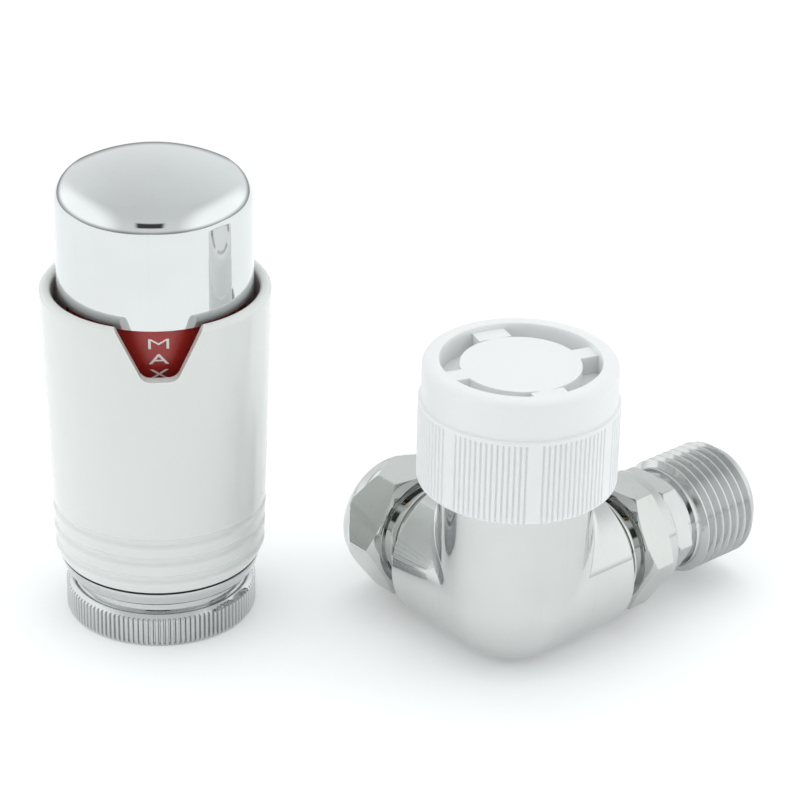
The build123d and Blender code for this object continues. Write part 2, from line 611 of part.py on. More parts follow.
# ---------------------------------------------------------------- union screw and radiator tail
# The hexagon has a flat underneath and cones that round its ends; the screw turns on the tail's spigot.
UNION_BORE_R = SPIGOT_R + THREAD_CLEARANCE

with BuildPart() as union_screw:
    with BuildSketch(tail_station(UNION_HEX_START)):
        RegularPolygon(hex_corner(NUT_HEX), 6)
    extrude(amount=UNION_HEX_END - UNION_HEX_START)
    with BuildSketch(TAIL_SECTION):
        Polygon(
            (UNION_HEX_START, 0),
            (UNION_HEX_START, NUT_HEX / 2 - 0.4),
            (UNION_HEX_START + 1.0, hex_corner(NUT_HEX) + 0.05),
            (UNION_HEX_END - 1.1, hex_corner(NUT_HEX) + 0.05),
            (UNION_HEX_END, UNION_COLLAR_R),
            (UNION_HEX_END, 0),
            align=None,
        )
    revolve(axis=TAIL_AXIS, mode=Mode.INTERSECT)
    with BuildSketch(TAIL_SECTION):
        Polygon(
            (UNION_TIP, 0),
            (UNION_TIP, G_HALF_ROOT_R),
            *ridges(UNION_TIP, UNION_HEX_START - NUT_RELIEF, SCREW_CREST_R, G_HALF_ROOT_R, G_HALF_PITCH),
            (UNION_HEX_START, G_HALF_ROOT_R),
            (UNION_HEX_START, 0),
            align=None,
        )
        Polygon(
            (UNION_HEX_END, 0),
            (UNION_HEX_END, UNION_COLLAR_R),
            (UNION_END - 0.5, UNION_COLLAR_R),
            (UNION_END, UNION_COLLAR_R - 0.5),
            (UNION_END, 0),
            align=None,
        )
    revolve(axis=TAIL_AXIS)
    with BuildSketch(tail_station(UNION_TIP)):
        Circle(UNION_BORE_R)
    extrude(amount=UNION_END - UNION_TIP, mode=Mode.SUBTRACT)
finish(union_screw, "union_screw")

TAIL_RING_AT = THREAD_START + TAIL_RING_WIRE_R + RUNNING_CLEARANCE
TAIL_RING_R = SPIGOT_R + 0.1

with BuildPart() as tailpiece:
    with BuildSketch(TAIL_SECTION):
        Polygon(
            (SPIGOT_TIP, TAIL_BORE_R),
            (SPIGOT_TIP, SPIGOT_R - 0.3),
            (SPIGOT_TIP + 0.3, SPIGOT_R),
            (TAIL_SEAL_AT - 0.65, SPIGOT_R),
            (TAIL_SEAL_AT - 0.65, SPIGOT_R - 1.05),
            (TAIL_SEAL_AT + 0.65, SPIGOT_R - 1.05),
            (TAIL_SEAL_AT + 0.65, SPIGOT_R),
            (TAIL_RING_AT - 0.52, SPIGOT_R),
            (TAIL_RING_AT - 0.52, TAIL_RING_R - 0.52),
            (TAIL_RING_AT + 0.52, TAIL_RING_R - 0.52),
            (TAIL_RING_AT + 0.52, SPIGOT_R),
            (TAIL_HEX_START, SPIGOT_R),
            (TAIL_HEX_START, TAIL_UNDERCUT_R),
            (TAIL_THREAD_START, TAIL_UNDERCUT_R),
            (TAIL_THREAD_START, G_HALF_ROOT_R),
            *ridges(TAIL_THREAD_START, TAIL_END, G_HALF_R, G_HALF_ROOT_R, G_HALF_PITCH),
            (TAIL_END, G_HALF_ROOT_R - 0.2),
            (TAIL_END, TAIL_BORE_R),
            align=None,
        )
    revolve(axis=TAIL_AXIS)
    with BuildSketch(tail_station(TAIL_HEX_START)):
        RegularPolygon(hex_corner(TAIL_HEX), 6)
        Circle(TAIL_BORE_R, mode=Mode.SUBTRACT)
    extrude(amount=TAIL_HEX_END - TAIL_HEX_START)
finish(tailpiece, "tailpiece")

with BuildPart() as tail_o_ring:
    with BuildSketch(TAIL_SECTION):
        with Locations((TAIL_SEAL_AT, SPIGOT_R - 1.05 + TAIL_SEAL_WIRE_R)):
            Circle(TAIL_SEAL_WIRE_R)
    revolve(axis=TAIL_AXIS)
finish(tail_o_ring, "tail_o_ring")

with BuildPart() as tail_snap_ring:
    with BuildSketch(TAIL_SECTION):
        with Locations((TAIL_RING_AT, TAIL_RING_R)):
            Circle(TAIL_RING_WIRE_R)
    revolve(axis=TAIL_AXIS, revolution_arc=330)
finish(tail_snap_ring, "tail_snap_ring")

# ---------------------------------------------------------------- compression screw and olive
OLIVE_START = THREAD_START
OLIVE_BORE_R = PIPE_R + RUNNING_CLEARANCE
crown_start = (PIPE_SCREW_END - 1.6, PIPE_SCREW_CROWN_R)
crown_end = (PIPE_SCREW_END, PIPE_SCREW_CROWN_R - 1.8)

with BuildPart() as compression_screw:
    with BuildSketch(pipe_station(PIPE_HEX_START)):
        RegularPolygon(hex_corner(NUT_HEX), 6)
    extrude(amount=PIPE_SCREW_END - PIPE_HEX_START)
    with BuildSketch(PIPE_SECTION):
        with BuildLine():
            Polyline(
                (PIPE_HEX_START, 0),
                (PIPE_HEX_START, NUT_HEX / 2 - 0.4),
                (PIPE_HEX_START + 1.0, hex_corner(NUT_HEX) + 0.05),
                (PIPE_HEX_END - 1.4, hex_corner(NUT_HEX) + 0.05),
            )
            Line((PIPE_HEX_END - 1.4, hex_corner(NUT_HEX) + 0.05), crown_start)
            RadiusArc(crown_start, crown_end, 2.0)
            Polyline(crown_end, (PIPE_SCREW_END, 0), (PIPE_HEX_START, 0))
        make_face()
    revolve(axis=PIPE_AXIS, mode=Mode.INTERSECT)
    with BuildSketch(PIPE_SECTION):
        Polygon(
            (PIPE_SCREW_TIP, 0),
            (PIPE_SCREW_TIP, G_HALF_ROOT_R),
            *ridges(PIPE_SCREW_TIP, PIPE_HEX_START - NUT_RELIEF, SCREW_CREST_R, G_HALF_ROOT_R, G_HALF_PITCH),
            (PIPE_HEX_START, G_HALF_ROOT_R),
            (PIPE_HEX_START, 0),
            align=None,
        )
    revolve(axis=PIPE_AXIS)
    with BuildSketch(PIPE_SECTION):
        Polygon(
            (PIPE_SCREW_TIP, 0),
            (PIPE_SCREW_TIP, OLIVE_R - 0.2),
            (PIPE_SCREW_TIP + 2.4, PIPE_SOCKET_R),
            (PIPE_SCREW_END - 0.5, PIPE_SOCKET_R),
            (PIPE_SCREW_END, PIPE_SOCKET_R + 0.5),
            (PIPE_SCREW_END, 0),
            align=None,
        )
    revolve(axis=PIPE_AXIS, mode=Mode.SUBTRACT)
finish(compression_screw, "compression_screw")

with BuildPart() as olive:
    with BuildSketch(PIPE_SECTION):
        Polygon(
            (OLIVE_START, OLIVE_BORE_R),
            (OLIVE_START, OLIVE_BORE_R + 0.25),
            (OLIVE_START + OLIVE_WIDTH / 2 - 0.7, OLIVE_BORE_R + 1.0),
            (OLIVE_START + OLIVE_WIDTH / 2 + 0.1, OLIVE_BORE_R + 1.0),
            (OLIVE_START + OLIVE_WIDTH, OLIVE_BORE_R + 0.25),
            (OLIVE_START + OLIVE_WIDTH, OLIVE_BORE_R),
            align=None,
        )
    revolve(axis=PIPE_AXIS)
finish(olive, "olive")

# ---------------------------------------------------------------- collar and base ring
# The collar turns freely: a wire ring in its neck rests on the lip inside the base ring.
with BuildPart() as collar_nut:
    with BuildSketch(HEAD_SECTION):
        Polygon(
            (M30_CORE_R, COLLAR_HEIGHT),
            (M30_CORE_R, COLLAR_HEIGHT - 0.4),
            *swapped(reversed(ridges(0.6, COLLAR_HEIGHT - 0.4, M30_CORE_R, M30_R, M30_PITCH))),
            (M30_R + 0.4, 0),
            (COLLAR_R - COLLAR_FOOT_CHAMFER, 0),
            (COLLAR_R, COLLAR_FOOT_CHAMFER),
            (COLLAR_R, COLLAR_HEIGHT - COLLAR_BEVEL_HEIGHT),
            (COLLAR_BEVEL_R, COLLAR_HEIGHT),
            (COLLAR_NECK_R, COLLAR_HEIGHT),
            (COLLAR_NECK_R, COLLAR_RING_Z - 0.5),
            (COLLAR_RING_R - 0.5, COLLAR_RING_Z - 0.5),
            (COLLAR_RING_R - 0.5, COLLAR_RING_Z + 0.5),
            (COLLAR_NECK_R, COLLAR_RING_Z + 0.5),
            (COLLAR_NECK_R, COLLAR_NECK_TOP),
            (COLLAR_NECK_BORE_R, COLLAR_NECK_TOP),
            (COLLAR_NECK_BORE_R, COLLAR_HEIGHT),
            align=None,
        )
    revolve(axis=HEAD_AXIS)
    with BuildSketch(head_level(0)):
        with PolarLocations(COLLAR_R, COLLAR_TEETH):
            Rectangle(2 * COLLAR_TOOTH_DEPTH, 0.4)
    extrude(amount=COLLAR_HEIGHT - COLLAR_BEVEL_HEIGHT + 0.2, mode=Mode.SUBTRACT)
finish(collar_nut, "collar_nut")

with BuildPart() as collar_snap_ring:
    with BuildSketch(HEAD_SECTION):
        with Locations((COLLAR_RING_R, COLLAR_RING_Z)):
            Circle(COLLAR_RING_WIRE_R)
    revolve(axis=HEAD_AXIS, revolution_arc=335)
finish(collar_snap_ring, "collar_snap_ring")

BASE_WAIST = SLEEVE_BOTTOM - TURN_GAP
BASE_INNER_R = SLEEVE_INNER_LOW_R - TURN_GAP

with BuildPart() as base_ring:
    with BuildSketch(HEAD_SECTION):
        Polygon(
            (COLLAR_NECK_R + 0.15, BASE_BOTTOM),
            (BASE_FOOT_R - 0.3, BASE_BOTTOM),
            (BASE_FOOT_R + 0.1, BASE_BOTTOM + 0.3),
            (BASE_R, BASE_WAIST - 0.5),
            (BASE_R, BASE_WAIST),
            (BASE_INNER_R, BASE_WAIST),
            (BASE_INNER_R, BASE_TOP),
            (BASE_PLUG_R, BASE_TOP),
            (BASE_PLUG_R, BASE_POCKET_TOP),
            (BASE_POCKET_R, BASE_POCKET_TOP),
            (BASE_POCKET_R, BASE_LIP_TOP),
            (COLLAR_NECK_R + 0.15, BASE_LIP_TOP),
            align=None,
        )
    revolve(axis=HEAD_AXIS)
finish(base_ring, "base_ring")

# ---------------------------------------------------------------- head frame and scale barrel
# The frame's tube guides the sensor carrier: its lugs pass through three upright slots.
LUG_FOOT = LUG_BOTTOM - CARRIER_TRAVEL

with BuildPart() as head_frame:
    with BuildSketch(HEAD_SECTION):
        Polygon(
            (FRAME_BORE_R, BASE_POCKET_TOP),
            (BASE_PLUG_R, BASE_POCKET_TOP),
            (BASE_PLUG_R, BASE_TOP),
            (BASE_INNER_R, BASE_TOP),
            (BASE_INNER_R, FRAME_FLANGE_TOP),
            (FRAME_TUBE_R, FRAME_FLANGE_TOP),
            (FRAME_TUBE_R, SLEEVE_LEDGE_TOP + 0.1),
            (FRAME_TUBE_R - 0.2, SLEEVE_LEDGE_TOP + 0.1),
            (FRAME_TUBE_R - 0.2, SLEEVE_LEDGE_TOP + 0.2 + 2 * CLIP_WIRE_R),
            (FRAME_TUBE_R, SLEEVE_LEDGE_TOP + 0.2 + 2 * CLIP_WIRE_R),
            (FRAME_TUBE_R, FRAME_TOP),
            (FRAME_TUBE_INNER_R, FRAME_TOP),
            (FRAME_TUBE_INNER_R, FRAME_FLOOR_TOP),
            (FRAME_BORE_R, FRAME_FLOOR_TOP),
            align=None,
        )
    revolve(axis=HEAD_AXIS)
    for lug in range(LUG_COUNT):
        with BuildSketch(head_facing(lug * 360 / LUG_COUNT)):
            with Locations((0, (LUG_FOOT + LUG_TOP) / 2)):
                Rectangle(LUG_WIDTH + 2 * SLIDE_CLEARANCE, LUG_TOP - LUG_FOOT + 2 * SLIDE_CLEARANCE)
        extrude(amount=FRAME_TUBE_R + 1, mode=Mode.SUBTRACT)
finish(head_frame, "head_frame")

with BuildPart() as scale_barrel:
    with BuildSketch(head_level(BARREL_BOTTOM)):
        Circle(BARREL_R)
        Circle(FRAME_TUBE_R, mode=Mode.SUBTRACT)
    extrude(amount=BARREL_TOP - BARREL_BOTTOM)
finish(scale_barrel, "scale_barrel")

# ---------------------------------------------------------------- turning sleeve
# White sleeve, slightly wider at the top, with a half-round lip, three shallow grooves near the foot
# and a V-shaped window cut through to the scale.
LIP_HALF = (SLEEVE_TOP_R - SLEEVE_MOUTH_R) / 2
LIP_CENTRE_Z = SLEEVE_LIP_TOP - LIP_HALF
LEDGE_R = FRAME_TUBE_R + TURN_GAP


def sleeve_outer(height):
    """The sleeve's outer radius at a height, on its straight taper."""
    share = (height - SLEEVE_LOW_Z) / (LIP_CENTRE_Z - SLEEVE_LOW_Z)
    return SLEEVE_LOW_R + share * (SLEEVE_TOP_R - SLEEVE_LOW_R)


def sleeve_inner(height):
    """The sleeve's inner radius at a height, on its straight taper."""
    share = (height - SLEEVE_BOTTOM) / (LIP_CENTRE_Z - SLEEVE_BOTTOM)
    return SLEEVE_INNER_LOW_R + share * (SLEEVE_MOUTH_R - SLEEVE_INNER_LOW_R)


with BuildPart() as sleeve:
    with BuildSketch(HEAD_SECTION):
        with BuildLine():
            Line((SLEEVE_INNER_LOW_R, SLEEVE_BOTTOM), (SLEEVE_FOOT_R - 0.2, SLEEVE_BOTTOM))
            Line((SLEEVE_FOOT_R - 0.2, SLEEVE_BOTTOM), (SLEEVE_FOOT_R, SLEEVE_BOTTOM + 0.2))
            RadiusArc((SLEEVE_FOOT_R, SLEEVE_BOTTOM + 0.2), (SLEEVE_LOW_R, SLEEVE_LOW_Z), -4.5)
            Line((SLEEVE_LOW_R, SLEEVE_LOW_Z), (SLEEVE_TOP_R, LIP_CENTRE_Z))
            ThreePointArc(
                (SLEEVE_TOP_R, LIP_CENTRE_Z),
                (SLEEVE_TOP_R - LIP_HALF, SLEEVE_LIP_TOP),
                (SLEEVE_MOUTH_R, LIP_CENTRE_Z),
            )
            Polyline(
                (SLEEVE_MOUTH_R, LIP_CENTRE_Z),
                (sleeve_inner(SLEEVE_LEDGE_TOP), SLEEVE_LEDGE_TOP),
                (LEDGE_R, SLEEVE_LEDGE_TOP),
                (LEDGE_R, SLEEVE_LEDGE_BOTTOM),
                (sleeve_inner(SLEEVE_LEDGE_BOTTOM), SLEEVE_LEDGE_BOTTOM),
                (SLEEVE_INNER_LOW_R, SLEEVE_BOTTOM),
            )
        make_face()
    revolve(axis=HEAD_AXIS)
    # shallow grooves with sloping sides
    with BuildSketch(HEAD_SECTION):
        for middle in SLEEVE_GROOVES:
            outer = sleeve_outer(middle)
            Polygon(
                (outer + 0.2, middle - SLEEVE_GROOVE_HALF - 0.2),
                (outer - SLEEVE_GROOVE_DEPTH, middle - SLEEVE_GROOVE_HALF + 0.35),
                (outer - SLEEVE_GROOVE_DEPTH, middle + SLEEVE_GROOVE_HALF - 0.35),
                (outer + 0.2, middle + SLEEVE_GROOVE_HALF + 0.2),
                align=None,
            )
    revolve(axis=HEAD_AXIS, mode=Mode.SUBTRACT)
    # window
    with BuildSketch(head_facing(0, BARREL_R)):
        with BuildLine():
            Polyline(
                (-WINDOW_TOP_HALF - 0.6, SLEEVE_LIP_TOP + 1),
                (-WINDOW_BOTTOM_HALF, WINDOW_BOTTOM),
                (WINDOW_BOTTOM_HALF, WINDOW_BOTTOM),
                (WINDOW_TOP_HALF + 0.6, SLEEVE_LIP_TOP + 1),
                close=True,
            )
        window_face = make_face()
        fillet(window_face.vertices().group_by(Axis.Z)[0], WINDOW_CORNER)
    extrude(amount=SLEEVE_TOP_R, mode=Mode.SUBTRACT)
    # pads that the dome's three legs stand against
    for leg in range(3):
        with BuildSketch(head_facing(90 * (leg + 1), DOME_R + RUNNING_CLEARANCE)):
            with Locations((0, (DOME_HOOK_TOP + 0.1 + LIP_CENTRE_Z - 2) / 2)):
                Rectangle(DOME_LEG_WIDTH, LIP_CENTRE_Z - 2 - DOME_HOOK_TOP - 0.1)
        extrude(amount=1.2)
finish(sleeve, "sleeve")

with BuildPart() as sleeve_clip:
    with BuildSketch(HEAD_SECTION):
        with Locations((FRAME_TUBE_R - 0.15 + CLIP_WIRE_R, SLEEVE_LEDGE_TOP + 0.15 + CLIP_WIRE_R)):
            Circle(CLIP_WIRE_R)
    revolve(axis=HEAD_AXIS, revolution_arc=330)
finish(sleeve_clip, "sleeve_clip")

with BuildPart() as drive_ring:
    with BuildSketch(HEAD_SECTION):
        Polygon(
            (DRIVE_BORE_R, DRIVE_BOTTOM),
            (sleeve_inner(DRIVE_BOTTOM), DRIVE_BOTTOM),
            (sleeve_inner(DRIVE_TOP), DRIVE_TOP),
            (DRIVE_BORE_R, DRIVE_TOP),
            (DRIVE_BORE_R, LUG_TOP + 1.0),
            (DRIVE_CHANNEL_R, LUG_TOP + 1.0),
            (DRIVE_CHANNEL_R, LUG_FOOT - 1.0),
            (DRIVE_BORE_R, LUG_FOOT - 1.0),
            align=None,
        )
    revolve(axis=HEAD_AXIS)
finish(drive_ring, "drive_ring")

# ---------------------------------------------------------------- chrome dome
# Plated cap with a shallow crown; a tab fills the top of the window and three legs hook under the pads.
def dome_outline(skin):
    """Key points of the dome's profile, moved inwards by a skin thickness."""
    side = DOME_R - skin
    crown_r = DOME_CROWN_R - skin
    shoulder_r = DOME_SHOULDER_R - skin
    crown_z = DOME_TOP - DOME_CROWN_R
    shoulder_x = side - shoulder_r
    shoulder_z = crown_z + sqrt((crown_r - shoulder_r) ** 2 - shoulder_x**2)
    reach = crown_r / (crown_r - shoulder_r)
    meet = (shoulder_x * reach, crown_z + (shoulder_z - crown_z) * reach)
    return side, shoulder_z, meet, (0, crown_z + crown_r), crown_r, shoulder_r


DOME_INNER_R = DOME_R - DOME_WALL
outer_side, outer_shoulder_z, outer_meet, outer_top, outer_crown_r, outer_shoulder_r = dome_outline(0)
inner_side, inner_shoulder_z, inner_meet, inner_top, inner_crown_r, inner_shoulder_r = dome_outline(
    DOME_WALL
)

with BuildPart() as dome_cap:
    with BuildSketch(HEAD_SECTION):
        with BuildLine():
            Line((inner_side, DOME_LEG_BOTTOM), (outer_side, DOME_LEG_BOTTOM))
            Line((outer_side, DOME_LEG_BOTTOM), (outer_side, outer_shoulder_z))
            RadiusArc((outer_side, outer_shoulder_z), outer_meet, -outer_shoulder_r)
            RadiusArc(outer_meet, outer_top, -outer_crown_r)
            Line(outer_top, inner_top)
            RadiusArc(inner_top, inner_meet, inner_crown_r)
            RadiusArc(inner_meet, (inner_side, inner_shoulder_z), inner_shoulder_r)
            Line((inner_side, inner_shoulder_z), (inner_side, DOME_LEG_BOTTOM))
        make_face()
    revolve(axis=HEAD_AXIS)
    # between its legs and tab the skirt is cut away
    with BuildSketch(head_level(DOME_SKIRT_BOTTOM)):
        Circle(DOME_R + 1)
        with Locations((DOME_R, 0)):
            Rectangle(DOME_R, 2 * DOME_TAB_HALF, mode=Mode.SUBTRACT)
        with PolarLocations(DOME_R, 3, start_angle=90, angular_range=270):
            Rectangle(DOME_R, DOME_LEG_WIDTH, mode=Mode.SUBTRACT)
    extrude(amount=DOME_LEG_BOTTOM - DOME_SKIRT_BOTTOM - 1, mode=Mode.SUBTRACT)
    with BuildSketch(head_level(DOME_TAB_BOTTOM)):
        with Locations((DOME_R, 0)):
            Rectangle(DOME_R, 2 * DOME_TAB_HALF + 2)
    extrude(amount=DOME_LEG_BOTTOM - DOME_TAB_BOTTOM - 1, mode=Mode.SUBTRACT)
    # hooks
    for leg in range(3):
        with BuildSketch(head_facing(90 * (leg + 1), DOME_INNER_R + 0.3)):
            with Locations((0, (DOME_LEG_BOTTOM + DOME_HOOK_TOP) / 2)):
                Rectangle(DOME_LEG_WIDTH, DOME_HOOK_TOP - DOME_LEG_BOTTOM)
        extrude(amount=DOME_HOOK_R - DOME_INNER_R - 0.3)
finish(dome_cap, "dome_cap")

# ---------------------------------------------------------------- sensor and its carrier
with BuildPart() as sensor_carrier:
    with BuildSketch(HEAD_SECTION):
        Polygon(
            (CARRIER_BORE_R, CARRIER_BOTTOM),
            (CARRIER_R, CARRIER_BOTTOM),
            (CARRIER_R, CARRIER_TOP),
            (CARRIER_INNER_R, CARRIER_TOP),
            (CARRIER_INNER_R, CARRIER_FLOOR_TOP),
            (CARRIER_BORE_R, CARRIER_FLOOR_TOP),
            align=None,
        )
    revolve(axis=HEAD_AXIS)
    for lug in range(LUG_COUNT):
        with BuildSketch(head_facing(lug * 360 / LUG_COUNT, CARRIER_INNER_R + 0.5)):
            with Locations((0, (LUG_BOTTOM + LUG_TOP) / 2)):
                Rectangle(LUG_WIDTH, LUG_TOP - LUG_BOTTOM)
        extrude(amount=LUG_REACH_R - CARRIER_INNER_R - 0.8)
finish(sensor_carrier, "sensor_carrier")

with BuildPart() as sensor_capsule:
    with BuildSketch(head_level(CARRIER_FLOOR_TOP)):
        Circle(CAPSULE_R)
    extrude(amount=CAPSULE_TOP - CARRIER_FLOOR_TOP)
    fillet(sensor_capsule.faces().sort_by(Axis.Z)[-1].edges(), CAPSULE_ROUND)
    with BuildSketch(head_level(CARRIER_FLOOR_TOP)):
        Circle(PISTON_R + RUNNING_CLEARANCE)
    extrude(amount=PISTON_TOP + 0.5 - CARRIER_FLOOR_TOP, mode=Mode.SUBTRACT)
finish(sensor_capsule, "sensor_capsule")

with BuildPart() as sensor_piston:
    with BuildSketch(head_level(CUP_TOP)):
        Circle(PISTON_R)
    extrude(amount=PISTON_TOP - CUP_TOP)
finish(sensor_piston, "sensor_piston")

# ---------------------------------------------------------------- transfer cup, rod and springs
with BuildPart() as transfer_cup:
    with BuildSketch(HEAD_SECTION):
        Polygon(
            (0, CUP_TOP),
            (0, CUP_TOP - CUP_ROOF),
            (CUP_INNER_R, CUP_TOP - CUP_ROOF),
            (CUP_INNER_R, CUP_LIP_TOP),
            (CUP_LIP_R, CUP_LIP_TOP),
            (CUP_LIP_R, CUP_BOTTOM),
            (CUP_R, CUP_BOTTOM),
            (CUP_R, CUP_TOP - CUP_FLANGE_THICK),
            (CUP_FLANGE_R, CUP_TOP - CUP_FLANGE_THICK),
            (CUP_FLANGE_R, CUP_TOP),
            align=None,
        )
    revolve(axis=HEAD_AXIS)
finish(transfer_cup, "transfer_cup")

with BuildPart() as push_rod:
    with BuildSketch(head_level(ROD_BOTTOM)):
        Circle(ROD_R)
    extrude(amount=CUP_LIP_TOP - ROD_BOTTOM)
    fillet(push_rod.edges().sort_by(Axis.Z)[0], 0.6)
    with BuildSketch(head_level(CUP_LIP_TOP)):
        Circle(ROD_FLANGE_R)
    extrude(amount=ROD_FLANGE_TOP - CUP_LIP_TOP)
finish(push_rod, "push_rod")

overtravel_spring = coil(
    head_level(ROD_FLANGE_TOP + SPRING_END_GAP),
    OVERTRAVEL_SPRING_R,
    HEAD_SPRING_WIRE_R,
    CUP_TOP - CUP_ROOF - ROD_FLANGE_TOP - 2 * SPRING_END_GAP,
    4,
)
finish(overtravel_spring, "overtravel_spring")

cup_return_spring = coil(
    head_level(FRAME_FLOOR_TOP + SPRING_END_GAP),
    CUP_SPRING_R,
    HEAD_SPRING_WIRE_R,
    CUP_TOP - CUP_FLANGE_THICK - FRAME_FLOOR_TOP - 2 * SPRING_END_GAP,
    4,
)
finish(cup_return_spring, "cup_return_spring")
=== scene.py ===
"""Looks of a thermostatic radiator valve: a corner valve under its protective cap, and the loose head."""

import json
from math import atan2, cos, degrees, hypot, pi, radians, sin, sqrt

import bmesh
import bpy
from mathutils import Matrix, Vector


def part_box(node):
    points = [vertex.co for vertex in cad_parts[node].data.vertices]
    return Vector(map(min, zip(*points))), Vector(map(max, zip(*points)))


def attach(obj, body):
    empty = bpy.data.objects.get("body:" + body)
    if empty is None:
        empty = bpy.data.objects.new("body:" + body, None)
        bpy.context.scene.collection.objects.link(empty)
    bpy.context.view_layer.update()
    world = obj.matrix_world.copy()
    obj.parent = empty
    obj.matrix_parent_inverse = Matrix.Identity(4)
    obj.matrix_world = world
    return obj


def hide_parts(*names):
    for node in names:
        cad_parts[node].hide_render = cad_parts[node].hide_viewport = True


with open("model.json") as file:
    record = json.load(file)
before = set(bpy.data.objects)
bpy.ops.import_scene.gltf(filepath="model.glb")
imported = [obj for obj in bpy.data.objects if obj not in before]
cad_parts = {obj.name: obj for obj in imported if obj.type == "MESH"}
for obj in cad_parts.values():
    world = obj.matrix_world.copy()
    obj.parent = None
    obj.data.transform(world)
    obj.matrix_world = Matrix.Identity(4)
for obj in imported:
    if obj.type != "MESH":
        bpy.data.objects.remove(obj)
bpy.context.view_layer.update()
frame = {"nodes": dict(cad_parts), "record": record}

# ---------------------------------------------------------------- camera
# A long lens stands in front of the corner between the two arms and looks down on both units.
bpy.ops.object.select_all(action="DESELECT")
camera_data = bpy.data.cameras.new("studio_camera")
camera_data.lens = 137.8
camera_data.sensor_width = 36.0
camera_data.clip_end = 20.0
camera = bpy.data.objects.new("studio_camera", camera_data)
bpy.context.scene.collection.objects.link(camera)
tilt = Matrix.Rotation(radians(90 - 27.3), 4, "X")
swing = Matrix.Rotation(radians(319), 4, "Z")
roll = Matrix.Rotation(radians(1.17), 4, "Z")
camera.matrix_world = Matrix.Translation((-0.30607, -0.35239, 0.279)) @ swing @ tilt @ roll
bpy.context.scene.camera = camera
bpy.context.scene.view_settings.view_transform = "Standard"

# ---------------------------------------------------------------- floor and light
# Seamless white table under a light tent: pale all round, brighter at both sides and behind, and a dark
# opening towards the camera that the plated surfaces pick up.
bpy.ops.mesh.primitive_plane_add(size=1.0, location=(0, 0, 0))
floor = bpy.context.active_object
floor.name = "table_top"
white_paper = bpy.data.materials.new("white_paper")
white_paper.use_nodes = True
paper = white_paper.node_tree.nodes["Principled BSDF"]
paper.inputs["Base Color"].default_value = (0.93, 0.935, 0.94, 1)
paper.inputs["Roughness"].default_value = 0.8
paper.inputs["Specular IOR Level"].default_value = 0.2
paper.inputs["Emission Color"].default_value = (1, 1, 1, 1)
paper.inputs["Emission Strength"].default_value = 0.13
floor.data.materials.append(white_paper)


def soft_light(name, place, aim, size, power, shines=True):
    """A square studio softbox; one that doesn't shine is left out of mirror reflections."""
    lamp = bpy.data.lights.new(name, "AREA")
    lamp.shape = "SQUARE"
    lamp.size = size
    lamp.energy = power
    holder = bpy.data.objects.new(name, lamp)
    bpy.context.scene.collection.objects.link(holder)
    holder.location = place
    holder.rotation_euler = (Vector(aim) - Vector(place)).to_track_quat("-Z", "Y").to_euler()
    holder.visible_glossy = shines
    return holder


soft_light("overhead_box", (0.05, 0.10, 0.95), (0, 0, 0.03), 0.9, 1.9, shines=False)
soft_light("left_box", (-0.75, 0.15, 0.45), (0, 0, 0.03), 0.5, 0.45, shines=False)
soft_light("right_box", (0.55, -0.65, 0.45), (0, 0, 0.03), 0.5, 0.45, shines=False)

tent = bpy.data.worlds.new("light_tent")
bpy.context.scene.world = tent
tent.use_nodes = True
sky = tent.node_tree
sky.nodes.clear()


def sky_node(kind, **settings):
    node = sky.nodes.new(kind)
    for key, value in settings.items():
        setattr(node, key, value)
    return node


def add_math(tree, operation, first, second=0.0):
    """One arithmetic node; inputs are numbers or other nodes' outputs."""
    node = tree.nodes.new("ShaderNodeMath")
    node.operation = operation
    for socket, value in zip(node.inputs, (first, second)):
        if isinstance(value, (int, float)):
            socket.default_value = value
        else:
            tree.links.new(value, socket)
    return node.outputs[0]


def sky_step(value, low, high):
    """Zero below low, one above high, smooth between."""
    node = sky_node("ShaderNodeMapRange", interpolation_type="SMOOTHSTEP")
    sky.links.new(value, node.inputs["Value"])
    node.inputs["From Min"].default_value = low
    node.inputs["From Max"].default_value = high
    return node.outputs["Result"]


outlook = sky_node("ShaderNodeTexCoord")
parts = sky_node("ShaderNodeSeparateXYZ")
sky.links.new(outlook.outputs["Generated"], parts.inputs[0])
FRONT = radians(-131)  # where the camera stands
ahead = add_math(
    sky,
    "ADD",
    add_math(sky, "MULTIPLY", parts.outputs["X"], cos(FRONT)),
    add_math(sky, "MULTIPLY", parts.outputs["Y"], sin(FRONT)),
)
aside = add_math(
    sky,
    "ADD",
    add_math(sky, "MULTIPLY", parts.outputs["X"], -sin(FRONT)),
    add_math(sky, "MULTIPLY", parts.outputs["Y"], cos(FRONT)),
)
height = parts.outputs["Z"]
# walls of the tent: brighter beside and behind the object, a little greyer overhead
side_glow = add_math(sky, "MULTIPLY", sky_step(add_math(sky, "ABSOLUTE", aside), 0.45, 0.85), 0.45)
roof_grey = add_math(sky, "MULTIPLY", sky_step(height, 0.25, 0.9), -0.06)
back_glow = add_math(sky, "MULTIPLY", sky_step(add_math(sky, "MULTIPLY", ahead, -1.0), 0.1, 0.9), 0.12)
side_and_roof = add_math(sky, "ADD", add_math(sky, "ADD", 0.84, side_glow), roof_grey)
upper_walls = add_math(sky, "ADD", side_and_roof, back_glow)
# below the level of the table the studio is dark
rise = add_math(sky, "ADD", add_math(sky, "MULTIPLY", sky_step(height, -0.12, 0.10), 0.65), 0.35)
walls = add_math(sky, "MULTIPLY", upper_walls, rise)
